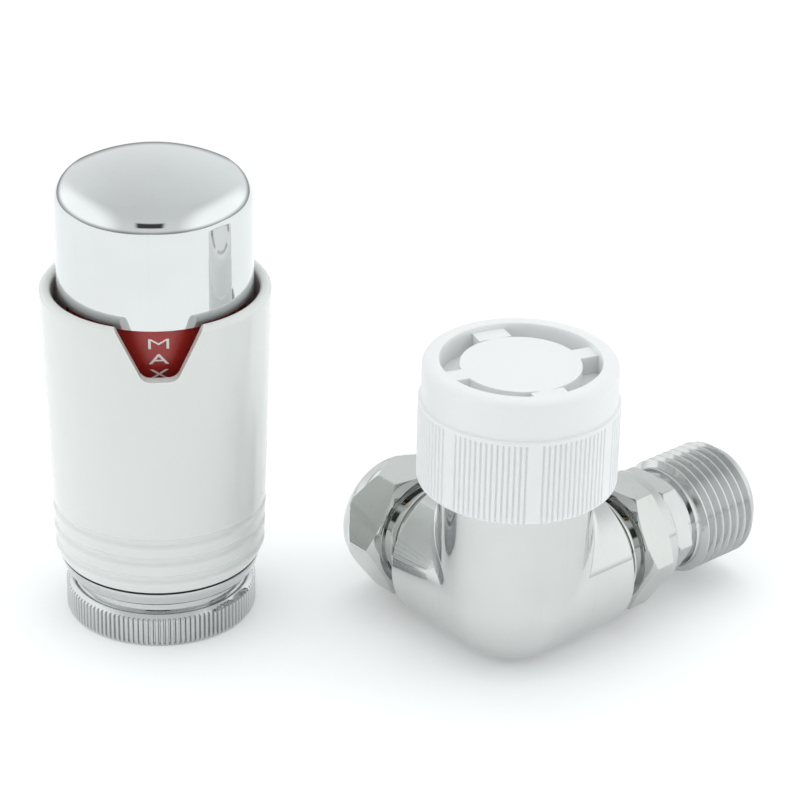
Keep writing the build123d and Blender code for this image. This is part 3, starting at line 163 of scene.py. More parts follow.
# the opening: a dark slot with the camera in it
in_slot = add_math(
    sky,
    "MULTIPLY",
    add_math(sky, "SUBTRACT", 1.0, sky_step(add_math(sky, "ABSOLUTE", aside), 0.20, 0.30)),
    add_math(
        sky,
        "MULTIPLY",
        sky_step(height, 0.24, 0.30),
        add_math(sky, "SUBTRACT", 1.0, sky_step(height, 0.50, 0.60)),
    ),
)
in_front = add_math(sky, "MULTIPLY", in_slot, sky_step(ahead, 0.2, 0.4))
slot_shade = add_math(sky, "MULTIPLY", in_front, 0.93)
glow = add_math(sky, "MULTIPLY", walls, add_math(sky, "SUBTRACT", 1.0, slot_shade))
tent_light = sky_node("ShaderNodeBackground")
tent_light.inputs["Color"].default_value = (0.97, 1.0, 0.995, 1)
sky.links.new(glow, tent_light.inputs["Strength"])
backdrop = sky_node("ShaderNodeBackground")
backdrop.inputs["Color"].default_value = (1, 1, 1, 1)
backdrop.inputs["Strength"].default_value = 1.0
seen = sky_node("ShaderNodeLightPath")
blend = sky_node("ShaderNodeMixShader")
sky.links.new(seen.outputs["Is Camera Ray"], blend.inputs[0])
sky.links.new(tent_light.outputs[0], blend.inputs[1])
sky.links.new(backdrop.outputs[0], blend.inputs[2])
tent_out = sky_node("ShaderNodeOutputWorld")
sky.links.new(blend.outputs[0], tent_out.inputs["Surface"])

# ---------------------------------------------------------------- valve body
# Forged brass, polished and chrome plated: two arms and the neck, all of one radius, run into a rounded
# corner, and the inner corners between them are blended. The arms and the neck are bored out.
MM = 0.001
pin_low, pin_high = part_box("valve_pin")
tail_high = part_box("tailpiece")[1]
PIN = Vector(((pin_low.x + pin_high.x) / 2, (pin_low.y + pin_high.y) / 2, 0))
BODY_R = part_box("valve_body")[0].x * -1 + PIN.x
NECK_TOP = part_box("valve_body")[1].z
ARM_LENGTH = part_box("valve_body")[1].x - PIN.x
CORNER = PIN + Vector((0, 0, BODY_R))
ALONG_X, ALONG_Y, ALONG_Z = Vector((1, 0, 0)), Vector((0, 1, 0)), Vector((0, 0, 1))
ROUND_STEPS = 96


def clear_selection():
    if bpy.context.object and bpy.context.object.mode == "EDIT":
        bpy.ops.object.mode_set(mode="OBJECT")
    bpy.ops.object.select_all(action="DESELECT")


def settle(name):
    """Names the new piece and puts its place into its mesh."""
    piece = bpy.context.active_object
    piece.name = name
    piece.data.name = name
    bpy.ops.object.transform_apply(location=True, rotation=True, scale=True)
    return piece


def pick(piece, wanted, kind="verts"):
    """In edit mode, selects only the vertices, edges or faces that a test accepts."""
    bpy.ops.mesh.select_all(action="DESELECT")
    bpy.ops.mesh.select_mode(type={"verts": "VERT", "edges": "EDGE", "faces": "FACE"}[kind])
    shape = bmesh.from_edit_mesh(piece.data)
    for element in getattr(shape, kind):
        if wanted(element):
            element.select_set(True)
    shape.select_flush_mode()
    bmesh.update_edit_mesh(piece.data)


def only(piece):
    clear_selection()
    piece.select_set(True)
    bpy.context.view_layer.objects.active = piece


def join(pieces, name):
    """Makes one piece of several."""
    clear_selection()
    for piece in pieces:
        piece.select_set(True)
    bpy.context.view_layer.objects.active = pieces[0]
    bpy.ops.object.join()
    pieces[0].name = name
    pieces[0].data.name = name
    return pieces[0]


def combine(piece, tool, way):
    """Cuts, joins or trims a piece by another, which is used up."""
    only(piece)
    bpy.ops.object.modifier_add(type="BOOLEAN")
    modifier = piece.modifiers[-1]
    modifier.operation = way
    modifier.solver = "EXACT"
    modifier.object = tool
    bpy.ops.object.modifier_apply(modifier=modifier.name)
    bpy.data.objects.remove(tool)
    return piece


def smooth(piece, angle=32):
    """Smooth shading that keeps edges sharper than an angle, weighted to the larger faces."""
    only(piece)
    bpy.ops.object.shade_smooth_by_angle(angle=radians(angle))
    bpy.ops.object.modifier_add(type="WEIGHTED_NORMAL")
    modifier = piece.modifiers[-1]
    modifier.keep_sharp = True
    modifier.weight = 60
    bpy.ops.object.modifier_apply(modifier=modifier.name)


def turned(name, outline, origin=PIN, along=ALONG_Z, steps=ROUND_STEPS):
    """Turns an outline of (radius, way along, corner round) in millimetres about an axis."""
    across = ALONG_Y if along is ALONG_X else ALONG_X
    places = [origin + across * (point[0] * MM) + along * (point[1] * MM) for point in outline]
    clear_selection()
    bpy.ops.mesh.primitive_plane_add(size=MM, location=places[0])
    piece = bpy.context.active_object
    bpy.ops.object.mode_set(mode="EDIT")
    bpy.ops.mesh.select_mode(type="VERT")
    bpy.ops.mesh.merge(type="CENTER")
    for here, there in zip(places, places[1:]):
        bpy.ops.mesh.extrude_region_move(TRANSFORM_OT_translate={"value": there - here})
    if outline[0][0] > 0 or outline[-1][0] > 0:
        ends = (places[0] - piece.location, places[-1] - piece.location)
        pick(piece, lambda vert: min((vert.co - end).length for end in ends) < 1e-7)
        bpy.ops.mesh.edge_face_add()
    for corner_round in sorted({point[2] for point in outline if len(point) > 2}):
        corners = [
            place - piece.location
            for place, point in zip(places, outline)
            if len(point) > 2 and point[2] == corner_round
        ]
        pick(piece, lambda vert: min((vert.co - corner).length for corner in corners) < 1e-7)
        bpy.ops.mesh.bevel(
            offset=corner_round * MM, offset_type="OFFSET", segments=4, affect="VERTICES"
        )
    bpy.ops.mesh.select_all(action="SELECT")
    bpy.ops.mesh.spin(steps=steps, angle=2 * pi, center=origin, axis=along, use_auto_merge=False)
    bpy.ops.mesh.select_all(action="SELECT")
    bpy.ops.mesh.remove_doubles(threshold=2e-6)
    bpy.ops.mesh.select_all(action="SELECT")
    bpy.ops.mesh.normals_make_consistent(inside=False)
    bpy.ops.object.mode_set(mode="OBJECT")
    return settle(name)


def arm(name, along, length, keeps):
    """One open tube from the corner, cut back to the planes where it meets the other two."""
    turn = along.to_track_quat("Z", "Y").to_euler()
    clear_selection()
    bpy.ops.mesh.primitive_cylinder_add(
        vertices=ROUND_STEPS,
        radius=BODY_R,
        depth=length,
        end_fill_type="NOTHING",
        location=CORNER + along * (length / 2),
        rotation=turn,
    )
    piece = settle(name)
    bpy.ops.object.mode_set(mode="EDIT")
    for plane in keeps:
        bpy.ops.mesh.select_all(action="SELECT")
        bpy.ops.mesh.bisect(
            plane_co=CORNER, plane_no=plane, use_fill=False, clear_inner=True, threshold=1e-7
        )
    bpy.ops.object.mode_set(mode="OBJECT")
    return piece


tubes = [
    arm("arm_x", ALONG_X, ARM_LENGTH, [ALONG_X - ALONG_Y, ALONG_X - ALONG_Z]),
    arm("arm_y", ALONG_Y, ARM_LENGTH, [ALONG_Y - ALONG_X, ALONG_Y - ALONG_Z]),
    arm("arm_z", ALONG_Z, NECK_TOP - BODY_R, [ALONG_Z - ALONG_X, ALONG_Z - ALONG_Y]),
]
clear_selection()
bpy.ops.mesh.primitive_uv_sphere_add(
    segments=ROUND_STEPS, ring_count=ROUND_STEPS // 2, radius=BODY_R, location=CORNER
)
ball = settle("ball")
bpy.ops.object.mode_set(mode="EDIT")
for plane in (ALONG_X, ALONG_Y, ALONG_Z):
    bpy.ops.mesh.select_all(action="SELECT")
    bpy.ops.mesh.bisect(
        plane_co=CORNER, plane_no=plane, use_fill=False, clear_outer=True, threshold=1e-7
    )
bpy.ops.object.mode_set(mode="OBJECT")
valve_body = join(tubes + [ball], "cast_body")
bpy.ops.object.mode_set(mode="EDIT")
bpy.ops.mesh.select_all(action="SELECT")
bpy.ops.mesh.remove_doubles(threshold=4e-6)
bpy.ops.mesh.select_all(action="SELECT")
bpy.ops.mesh.normals_make_consistent(inside=False)


def is_crease(edge):
    """An edge where two of the tubes meet at more than a slight angle."""
    if len(edge.link_faces) != 2 or edge.calc_face_angle() < radians(7):
        return False
    near = [vert.co - CORNER for vert in edge.verts]
    return all(
        min(abs(v.x - v.y), abs(v.x - v.z), abs(v.y - v.z)) < 5e-6
        and sorted((v.x, v.y, v.z))[1] > -1e-4
        for v in near
    )


pick(valve_body, is_crease, "edges")
bpy.ops.mesh.bevel(offset=1.3 * MM, offset_type="OFFSET", segments=8, profile=0.5, affect="EDGES")
for along, length in ((ALONG_X, ARM_LENGTH), (ALONG_Y, ARM_LENGTH), (ALONG_Z, NECK_TOP - BODY_R)):
    pick(
        valve_body,
        lambda edge: all(abs((v.co - CORNER).dot(along) - length) < 1e-6 for v in edge.verts),
        "edges",
    )
    bpy.ops.mesh.edge_face_add()
    pick(
        valve_body,
        lambda edge: all(abs((v.co - CORNER).dot(along) - length) < 1e-6 for v in edge.verts),
        "edges",
    )
    bpy.ops.mesh.bevel(offset=0.45 * MM, offset_type="OFFSET", segments=4, affect="EDGES")
bpy.ops.object.mode_set(mode="OBJECT")

PITCH = 1.814
arm_end = ARM_LENGTH / MM
thread_from = arm_end - 5.8


def female_thread(start, end, crest, root, pitch):
    """Outline points of a tapped hole from start to end: radius, way along."""
    points = []
    along = start
    while along + pitch <= end + 1e-6:
        points += [(root, along + 0.40 * pitch), (crest, along + 0.90 * pitch)]
        along += pitch
    return points


radiator_bore = turned(
    "radiator_bore",
    [(0, arm_end + 1), (11.6, arm_end + 1), (11.2, arm_end - 0.02), (10.6, arm_end - 0.6)]
    + female_thread(thread_from, arm_end - 0.6, 10.42, 11.3, PITCH)[::-1]
    + [(8.15, thread_from), (8.15, thread_from - 2.3), (0, thread_from - 2.3)],
    CORNER,
    ALONG_X,
)
pipe_bore = turned(
    "pipe_bore",
    [(0, arm_end + 1), (11.6, arm_end + 1), (11.2, arm_end - 0.02), (10.6, arm_end - 0.6)]
    + female_thread(thread_from + 0.5, arm_end - 0.6, 10.42, 11.3, PITCH)[::-1]
    + [(8.5, thread_from + 0.5), (7.6, thread_from - 0.4)]
    + [(7.6, thread_from - 2.3), (0, thread_from - 2.3)],
    CORNER,
    ALONG_Y,
)
neck_bore = turned(
    "neck_bore",
    [(0, NECK_TOP / MM + 1), (11.18, NECK_TOP / MM + 1), (11.18, 34.1), (10.0, 34.1)]
    + [(10.0, 26.0), (7.4, 26.0)]
    + [(7.4, 14.0), (5.2, 14.0), (4.9, 14.9), (4.0, 14.9), (4.0, 13.0), (6.0, 13.0), (6.0, 5.0), (0, 5.0)],
)
PORT_STEPS = 48
UPPER_PORT_R, LOWER_PORT_R, PORT_LENGTH = 3.2, 3.6, 9.0
upper_centre, lower_centre = PIN + ALONG_Z * (17.9 * MM), PIN + ALONG_Z * (8.8 * MM)
ports = [
    turned(
        name,
        [(0, 0), (port_radius, 0), (port_radius, PORT_LENGTH), (0, PORT_LENGTH)],
        centre,
        along,
        PORT_STEPS,
    )
    for name, port_radius, centre, along in (
        ("upper_port", UPPER_PORT_R, upper_centre, ALONG_X),
        ("lower_port", LOWER_PORT_R, lower_centre, ALONG_Y),
    )
]
for cutter in [radiator_bore, pipe_bore, neck_bore] + ports:
    combine(valve_body, cutter, "DIFFERENCE")
smooth(valve_body, 28)


def new_material(name, colour, rough, metal=0.0):
    """A Principled material; returns it with its shader."""
    material = bpy.data.materials.new(name)
    material.use_nodes = True
    shader = material.node_tree.nodes["Principled BSDF"]
    shader.inputs["Base Color"].default_value = (*colour, 1)
    shader.inputs["Roughness"].default_value = rough
    shader.inputs["Metallic"].default_value = metal
    return material, shader


def effect_group(name, inputs, outputs):
    """An empty shader node group with named sockets."""
    group = bpy.data.node_groups.new(name, "ShaderNodeTree")
    for label, value in inputs:
        kind = "NodeSocketColor" if isinstance(value, tuple) else "NodeSocketFloat"
        socket = group.interface.new_socket(name=label, in_out="INPUT", socket_type=kind)
        socket.default_value = value
    for label, kind in outputs:
        group.interface.new_socket(name=label, in_out="OUTPUT", socket_type=kind)
    return group, group.nodes.new("NodeGroupInput"), group.nodes.new("NodeGroupOutput")


def add_noise(tree, scale, detail, vector):
    node = tree.nodes.new("ShaderNodeTexNoise")
    if isinstance(scale, (int, float)):
        node.inputs["Scale"].default_value = scale
    else:
        tree.links.new(scale, node.inputs["Scale"])
    node.inputs["Detail"].default_value = detail
    tree.links.new(vector, node.inputs["Vector"])
    return node.outputs["Fac"]


def add_range(tree, value, low, high, to_low, to_high):
    node = tree.nodes.new("ShaderNodeMapRange")
    tree.links.new(value, node.inputs["Value"])
    for label, number in (("From Min", low), ("From Max", high), ("To Min", to_low), ("To Max", to_high)):
        if isinstance(number, (int, float)):
            node.inputs[label].default_value = number
        else:
            tree.links.new(number, node.inputs[label])
    return node.outputs["Result"]


# Handling haze: soft patches of slightly duller finish with a few fine wipe marks.
haze, haze_in, haze_out = effect_group(
    "handling_haze",
    [("Patch Size", 60.0), ("Sharpest", 0.04), ("Dullest", 0.10)],
    [("Roughness", "NodeSocketFloat"), ("Mask", "NodeSocketFloat")],
)
haze_place = haze.nodes.new("ShaderNodeTexCoord")
patches = add_noise(haze, haze_in.outputs["Patch Size"], 3.0, haze_place.outputs["Object"])
wipe_stretch = haze.nodes.new("ShaderNodeMapping")
wipe_stretch.inputs["Scale"].default_value = (900, 900, 60)
haze.links.new(haze_place.outputs["Object"], wipe_stretch.inputs["Vector"])
wipes = add_noise(haze, 1.0, 2.0, wipe_stretch.outputs["Vector"])
wipe_mask = add_range(haze, wipes, 0.60, 0.74, 0.0, 0.35)
haze_mask = add_math(haze, "ADD", add_range(haze, patches, 0.42, 0.66, 0.0, 0.65), wipe_mask)
haze.links.new(haze_mask, haze_out.inputs["Mask"])
haze_rough = add_range(
    haze, haze_mask, 0.0, 1.0, haze_in.outputs["Sharpest"], haze_in.outputs["Dullest"]
)
haze.links.new(haze_rough, haze_out.inputs["Roughness"])

# Surface ripple: the slight unevenness of a polished, plated or moulded face, as a height.
ripple, ripple_in, ripple_out = effect_group(
    "surface_ripple",
    [("Size", 220.0), ("Grain", 2500.0), ("Grain Share", 0.2)],
    [("Height", "NodeSocketFloat")],
)
ripple_place = ripple.nodes.new("ShaderNodeTexCoord")
swell = add_noise(ripple, ripple_in.outputs["Size"], 1.0, ripple_place.outputs["Object"])
grain = add_noise(ripple, ripple_in.outputs["Grain"], 2.0, ripple_place.outputs["Object"])
ripple.links.new(
    add_math(ripple, "ADD", swell, add_math(ripple, "MULTIPLY", grain, ripple_in.outputs["Grain Share"])),
    ripple_out.inputs["Height"],
)

# Painted edge highlight: finds edges by the difference between the true and a widened, rounded normal.
edges, highlight_in, highlight_out = effect_group(
    "painted_edge_highlight",
    [("Width", 0.0003), ("Amount", 1.0)],
    [("Mask", "NodeSocketFloat")],
)
rounding = edges.nodes.new("ShaderNodeBevel")
rounding.samples = 4
edges.links.new(highlight_in.outputs["Width"], rounding.inputs["Radius"])
true_face = edges.nodes.new("ShaderNodeNewGeometry")
agree = edges.nodes.new("ShaderNodeVectorMath")
agree.operation = "DOT_PRODUCT"
edges.links.new(rounding.outputs["Normal"], agree.inputs[0])
edges.links.new(true_face.outputs["Normal"], agree.inputs[1])
# Mask of the painted edge highlight, over convex and concave edges alike.
edge_highlight_mask = add_range(edges, agree.outputs["Value"], 0.99, 0.80, 0.0, 1.0)
edges.links.new(
    add_math(edges, "MULTIPLY", edge_highlight_mask, highlight_in.outputs["Amount"]), highlight_out.inputs["Mask"]
)


def put_group(material, group, values):
    """Places an effect group in a material with its own values."""
    node = material.node_tree.nodes.new("ShaderNodeGroup")
    node.node_tree = group
    for label, value in values.items():
        node.inputs[label].default_value = value
    return node


def put_bump(material, shader, height, distance, edge_radius=0.0):
    """Raises the surface by a height; an edge radius also rounds sharp edges in the shading."""
    tree = material.node_tree
    node = tree.nodes.new("ShaderNodeBump")
    if edge_radius:
        rounded = tree.nodes.new("ShaderNodeBevel")
        rounded.samples = 6
        rounded.inputs["Radius"].default_value = edge_radius
        tree.links.new(rounded.outputs["Normal"], node.inputs["Normal"])
    node.inputs["Distance"].default_value = distance
    tree.links.new(height, node.inputs["Height"])
    tree.links.new(node.outputs["Normal"], shader.inputs["Normal"])


def put_tint(material, shader, plain, other, mask):
    """Mixes two colours by a mask into the base colour."""
    tree = material.node_tree
    node = tree.nodes.new("ShaderNodeMix")
    node.data_type = "RGBA"
    node.inputs["A"].default_value = (*plain, 1)
    node.inputs["B"].default_value = (*other, 1)
    tree.links.new(mask, node.inputs["Factor"])
    tree.links.new(node.outputs["Result"], shader.inputs["Base Color"])


def plated(name, bright, dull, sharpest, dullest, swell_size, swell_depth):
    """Chrome plate: a mirror with patches of haze and a slight ripple."""
    material, shader = new_material(name, bright, sharpest, 1.0)
    hazy = put_group(material, haze, {"Patch Size": 55.0, "Sharpest": sharpest, "Dullest": dullest})
    material.node_tree.links.new(hazy.outputs["Roughness"], shader.inputs["Roughness"])
    put_tint(material, shader, bright, dull, hazy.outputs["Mask"])
    rippled = put_group(material, ripple, {"Size": swell_size, "Grain": 3000.0, "Grain Share": 0.02})
    put_bump(material, shader, rippled.outputs["Height"], swell_depth)
    return material


chrome_body = plated(
    "chrome_on_brass", (0.63, 0.64, 0.635), (0.58, 0.585, 0.58), 0.035, 0.085, 90.0, 0.00003
)


def stand_for(piece, nodes, body, material):
    """Gives a finished piece its material and puts it in place of its CAD nodes."""
    piece.data.materials.clear()
    piece.data.materials.append(material)
    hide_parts(*nodes)
    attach(piece, body)


stand_for(valve_body, ["valve_body"], "valve", chrome_body)

# ---------------------------------------------------------------- protective cap
# Moulded white cap screwed over the headwork's thread until the head is fitted. The skirt has seven
# groups of grip grooves; four bridges join the sunk disc to the rim across a deep ring-shaped recess.
cap_low, cap_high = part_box("protective_cap")
CAP_TOP = cap_high.z / MM
CAP_FOOT = cap_low.z / MM
CAP_R = (cap_high.x - cap_low.x) / 2 / MM
GRIP_PITCHES = 112


def ribbed(name, outline, pitches, per_pitch, is_groove, depth, origin):
    """A ring raised row by row from a circle. Rows marked as gripped have their groove points drawn in."""
    count = pitches * per_pitch
    clear_selection()
    level = outline[0][1]
    bpy.ops.mesh.primitive_circle_add(
        vertices=count, radius=outline[0][0] * MM, location=origin + ALONG_Z * (level * MM)
    )
    piece = settle(name)
    bpy.ops.object.mode_set(mode="EDIT")
    bpy.ops.mesh.select_all(action="SELECT")
    for next_radius, next_level, next_gripped in outline[1:]:
        bpy.ops.mesh.extrude_region_move(
            TRANSFORM_OT_translate={"value": ALONG_Z * ((next_level - level) * MM)}
        )
        shape = bmesh.from_edit_mesh(piece.data)
        for vert in shape.verts:
            if vert.select:
                around = (degrees(atan2(vert.co.y - origin.y, vert.co.x - origin.x)) - 0.01) % 360
                reach = next_radius
                if next_gripped and is_groove(around):
                    reach -= depth
                out = Vector((vert.co.x - origin.x, vert.co.y - origin.y, 0)).normalized()
                vert.co = Vector((origin.x, origin.y, vert.co.z)) + out * (reach * MM)
        bmesh.update_edit_mesh(piece.data)
        level = next_level
    bpy.ops.object.mode_set(mode="OBJECT")
    return piece


GROUP_ANGLE = -47.8
GRIP_STEP = 360 / GRIP_PITCHES


def cap_groove(around):
    """The middle three of a pitch's six points are in a groove; two of sixteen grooves are left out."""
    turn = (around - GROUP_ANGLE + 7.5 * GRIP_STEP) % (16 * GRIP_STEP)
    pitch_number = int(turn / GRIP_STEP)
    share = turn / GRIP_STEP - pitch_number
    return 1 <= pitch_number <= 14 and 0.30 < share < 0.70


cap_shell = ribbed(
    "cap_shell",
    [
        (15.4, CAP_FOOT, False),
        (CAP_R - 0.9, CAP_FOOT, False),
        (CAP_R - 0.45, CAP_FOOT + 0.12, False),
        (CAP_R - 0.12, CAP_FOOT + 0.45, True),
        (CAP_R, CAP_FOOT + 0.9, True),
        (CAP_R, CAP_FOOT + 14.35, True),
        (CAP_R, CAP_FOOT + 14.65, False),
        (CAP_R, CAP_FOOT + 14.9, False),
        (CAP_R - 0.1, CAP_FOOT + 15.15, False),
        (CAP_R - 0.42, CAP_FOOT + 15.25, False),
        (CAP_R - 0.5, CAP_FOOT + 15.4, False),
        (CAP_R - 0.5, CAP_TOP - 1.3, False),
        (CAP_R - 0.6, CAP_TOP - 0.8, False),
        (CAP_R - 0.88, CAP_TOP - 0.38, False),
        (CAP_R - 1.3, CAP_TOP - 0.1, False),
        (CAP_R - 1.8, CAP_TOP, False),
        (13.75, CAP_TOP, False),
        (13.5, CAP_TOP - 0.07, False),
        (13.4, CAP_TOP - 0.3, False),
        (13.4, CAP_TOP - 1.0, False),
    ],
    GRIP_PITCHES,
    6,
    cap_groove,
    0.30,
    PIN,
)
bpy.ops.object.mode_set(mode="EDIT")
bpy.ops.mesh.edge_face_add()
pick(
    cap_shell,
    lambda vert: abs(vert.co.z - CAP_FOOT * MM) < 1e-6
    and hypot(vert.co.x - PIN.x, vert.co.y - PIN.y) < 15.5 * MM,
)
bpy.ops.mesh.edge_face_add()
bpy.ops.mesh.select_all(action="SELECT")
bpy.ops.mesh.normals_make_consistent(inside=False)
bpy.ops.object.mode_set(mode="OBJECT")
cavity = turned(
    "cavity",
    [(0, 52.9), (8.7, 52.9), (8.7, 50.0), (13.4, 50.0), (13.4, 47.0), (15.1, 47.0)]
    + [(15.1, CAP_FOOT + 0.3), (15.4, CAP_FOOT), (15.4, CAP_FOOT - 1), (0, CAP_FOOT - 1)],
)
combine(cap_shell, cavity, "DIFFERENCE")
recess = turned(
    "recess",
    [(10.1, CAP_TOP - 0.9), (10.1, CAP_TOP - 4.2), (13.4, CAP_TOP - 4.2), (13.4, CAP_TOP - 0.9)],
    steps=112,
)
for bridge in range(4):
    turn = radians(-17.6 + 90 * bridge)
    clear_selection()
    bpy.ops.mesh.primitive_cube_add(
        size=1,
        location=PIN + Vector((11.75 * cos(turn), 11.75 * sin(turn), CAP_TOP - 2.5)) * MM,
        rotation=(0, 0, turn),
    )
    bpy.ops.transform.resize(value=(6 * MM, 3 * MM, 5 * MM))
    combine(recess, settle("spoke"), "DIFFERENCE")
combine(cap_shell, recess, "DIFFERENCE")
only(cap_shell)
bpy.ops.object.mode_set(mode="EDIT")
pick(cap_shell, lambda face: len(face.verts) > 4, "faces")
bpy.ops.mesh.quads_convert_to_tris(ngon_method="BEAUTY")
bpy.ops.object.mode_set(mode="OBJECT")
smooth(cap_shell, 40)


def white_moulding(
    name, colour, highlight_colour, rough, translucent, highlight_amount, swell, depth, edge_radius=0.0
):
    """Translucent white plastic with patches of sheen, a painted highlight that makes its edges paler, and
    a moulded skin.
    """
    base_rough, patch, sharpest, dullest = rough
    weight, scatter = translucent
    material, shader = new_material(name, colour, base_rough)
    shader.inputs["Subsurface Weight"].default_value = weight
    shader.inputs["Subsurface Radius"].default_value = scatter
    shader.inputs["Subsurface Scale"].default_value = 1.0
    sheen = put_group(material, haze, {"Patch Size": patch, "Sharpest": sharpest, "Dullest": dullest})
    material.node_tree.links.new(sheen.outputs["Roughness"], shader.inputs["Roughness"])
    # Painted highlight: edges are mixed towards a paler colour.
    edge_highlight = put_group(material, edges, {"Width": 0.0004, "Amount": highlight_amount})
    put_tint(material, shader, colour, highlight_colour, edge_highlight.outputs["Mask"])
    size, fine, share = swell
    skin = put_group(material, ripple, {"Size": size, "Grain": fine, "Grain Share": share})
    put_bump(material, shader, skin.outputs["Height"], depth, edge_radius)
    return material, shader


# The second colour is the painted highlight on the cap's edges.
satin_white = white_moulding(
    "satin_white_moulding", (0.80, 0.806, 0.812), (0.87, 0.88, 0.89), (0.42, 90.0, 0.36, 0.52),
    (0.25, (0.0009, 0.0008, 0.0007)), 0.8, (260.0, 5200.0, 0.35), 0.00003, 0.0002,
)[0]
stand_for(cap_shell, ["protective_cap"], "cap", satin_white)

# ---------------------------------------------------------------- union screw
# Plated brass screw that turns on the tail's spigot and pulls it into the radiator arm. Its hexagon is
# chamfered at both ends and steps down to a round collar.
HALF_FLATS = 11.0
HEX_CORNER = HALF_FLATS * 2 / sqrt(3)


def hexagon(name, start, end, flats, along, edge_round=0.25):
    """A hexagonal bar about an arm, with softened corners and flats on top and underneath."""
    turn = along.to_track_quat("Z", "Y").to_euler()
    clear_selection()
    bpy.ops.mesh.primitive_cylinder_add(
        vertices=6, radius=flats / sqrt(3) * MM, depth=(end - start) * MM, end_fill_type="NGON"
    )
    piece = bpy.context.active_object
    bpy.ops.object.mode_set(mode="EDIT")
    pick(
        piece,
        lambda edge: abs(edge.verts[0].co.z - edge.verts[1].co.z) > 0.5 * (end - start) * MM,
        "edges",
    )
    bpy.ops.mesh.bevel(offset=edge_round * MM, offset_type="OFFSET", segments=3, affect="EDGES")
    bpy.ops.object.mode_set(mode="OBJECT")
    piece.rotation_euler = (0, 0, radians(30))
    bpy.ops.object.transform_apply(rotation=True)
    piece.rotation_euler = turn
    piece.location = CORNER + along * ((start + end) / 2 * MM)
    piece = settle(name)
    top = max(vert.co.z for vert in piece.data.vertices) - CORNER.z
    if abs(top - flats / 2 * MM) > 0.2 * MM:
        axis = "X" if along is ALONG_X else "Y"
        piece.location = (0, 0, 0)
        piece.data.transform(
            Matrix.Translation(CORNER) @ Matrix.Rotation(radians(30), 4, axis) @ Matrix.Translation(-CORNER)
        )
    return piece


def soften(piece, width, segments, angle):
    """Bevels every edge sharper than an angle."""
    only(piece)
    bpy.ops.object.modifier_add(type="BEVEL")
    modifier = piece.modifiers[-1]
    modifier.width = width * MM
    modifier.segments = segments
    modifier.limit_method = "ANGLE"
    modifier.angle_limit = radians(angle)
    bpy.ops.object.modifier_apply(modifier=modifier.name)


def male_thread(name, start, end, crest, root, pitch, origin, along, steps=72):
    """A helical ridge along an axis, sunk a little into the core and running out at both ends."""
    turns = (end - start) / pitch - 0.92
    sunk = root - 0.15
    ridge = [(sunk, 0.0), (root, 0.06), (crest, 0.36), (crest, 0.52), (root, 0.82), (sunk, 0.88)]
    clear_selection()
    bpy.ops.mesh.primitive_plane_add(size=MM, location=(0, 0, 0))
    piece = bpy.context.active_object
    piece.name = name
    bpy.ops.object.mode_set(mode="EDIT")
    bpy.ops.mesh.select_mode(type="VERT")
    bpy.ops.mesh.merge(type="CENTER")
    bpy.ops.transform.translate(value=(ridge[0][0] * MM, 0, ridge[0][1] * pitch * MM))
    for here, there in zip(ridge, ridge[1:]):
        bpy.ops.mesh.extrude_region_move(
            TRANSFORM_OT_translate={
                "value": ((there[0] - here[0]) * MM, 0, (there[1] - here[1]) * pitch * MM)
            }
        )
    first, last = ridge[0], ridge[-1]
    pick(
        piece,
        lambda vert: (vert.co - Vector((first[0], 0, first[1] * pitch)) * MM).length < 1e-7
        or (vert.co - Vector((last[0], 0, last[1] * pitch)) * MM).length < 1e-7,
    )
    bpy.ops.mesh.edge_face_add()
    bpy.ops.object.mode_set(mode="OBJECT")
    bpy.ops.object.modifier_add(type="SCREW")
    screw = piece.modifiers[-1]
    screw.angle = 2 * pi * turns
    screw.screw_offset = pitch * MM * turns
    screw.steps = int(steps * turns)
    screw.render_steps = screw.steps
    screw.use_smooth_shade = True
    bpy.ops.object.modifier_apply(modifier=screw.name)
    bpy.ops.object.mode_set(mode="EDIT")
    bpy.ops.mesh.select_all(action="SELECT")
    bpy.ops.mesh.fill_holes(sides=0)
    bpy.ops.mesh.select_all(action="SELECT")
    bpy.ops.mesh.normals_make_consistent(inside=False)
    bpy.ops.object.mode_set(mode="OBJECT")
    low_end = min(vert.co.z for vert in piece.data.vertices)
    for vert in piece.data.vertices:
        # the ridge sinks away over the last eighth of a turn
        reach = hypot(vert.co.x, vert.co.y)
        around = atan2(vert.co.y, vert.co.x) % (2 * pi)
        winding = round((vert.co.z - low_end) / (pitch * MM) - around / (2 * pi) - 0.44)
        along_turn = winding + around / (2 * pi)
        fade = min(along_turn, turns - along_turn) / 0.14
        if reach > sunk * MM + 1e-6 and fade < 1:
            keep = max(fade, 0.0)
            wanted = sunk * MM + (reach - sunk * MM) * keep
            vert.co.x *= wanted / reach
            vert.co.y *= wanted / reach
    turn = along.to_track_quat("Z", "Y").to_euler()
    piece.rotation_euler = turn
    piece.location = origin + along * (start * MM)
    return settle(name)


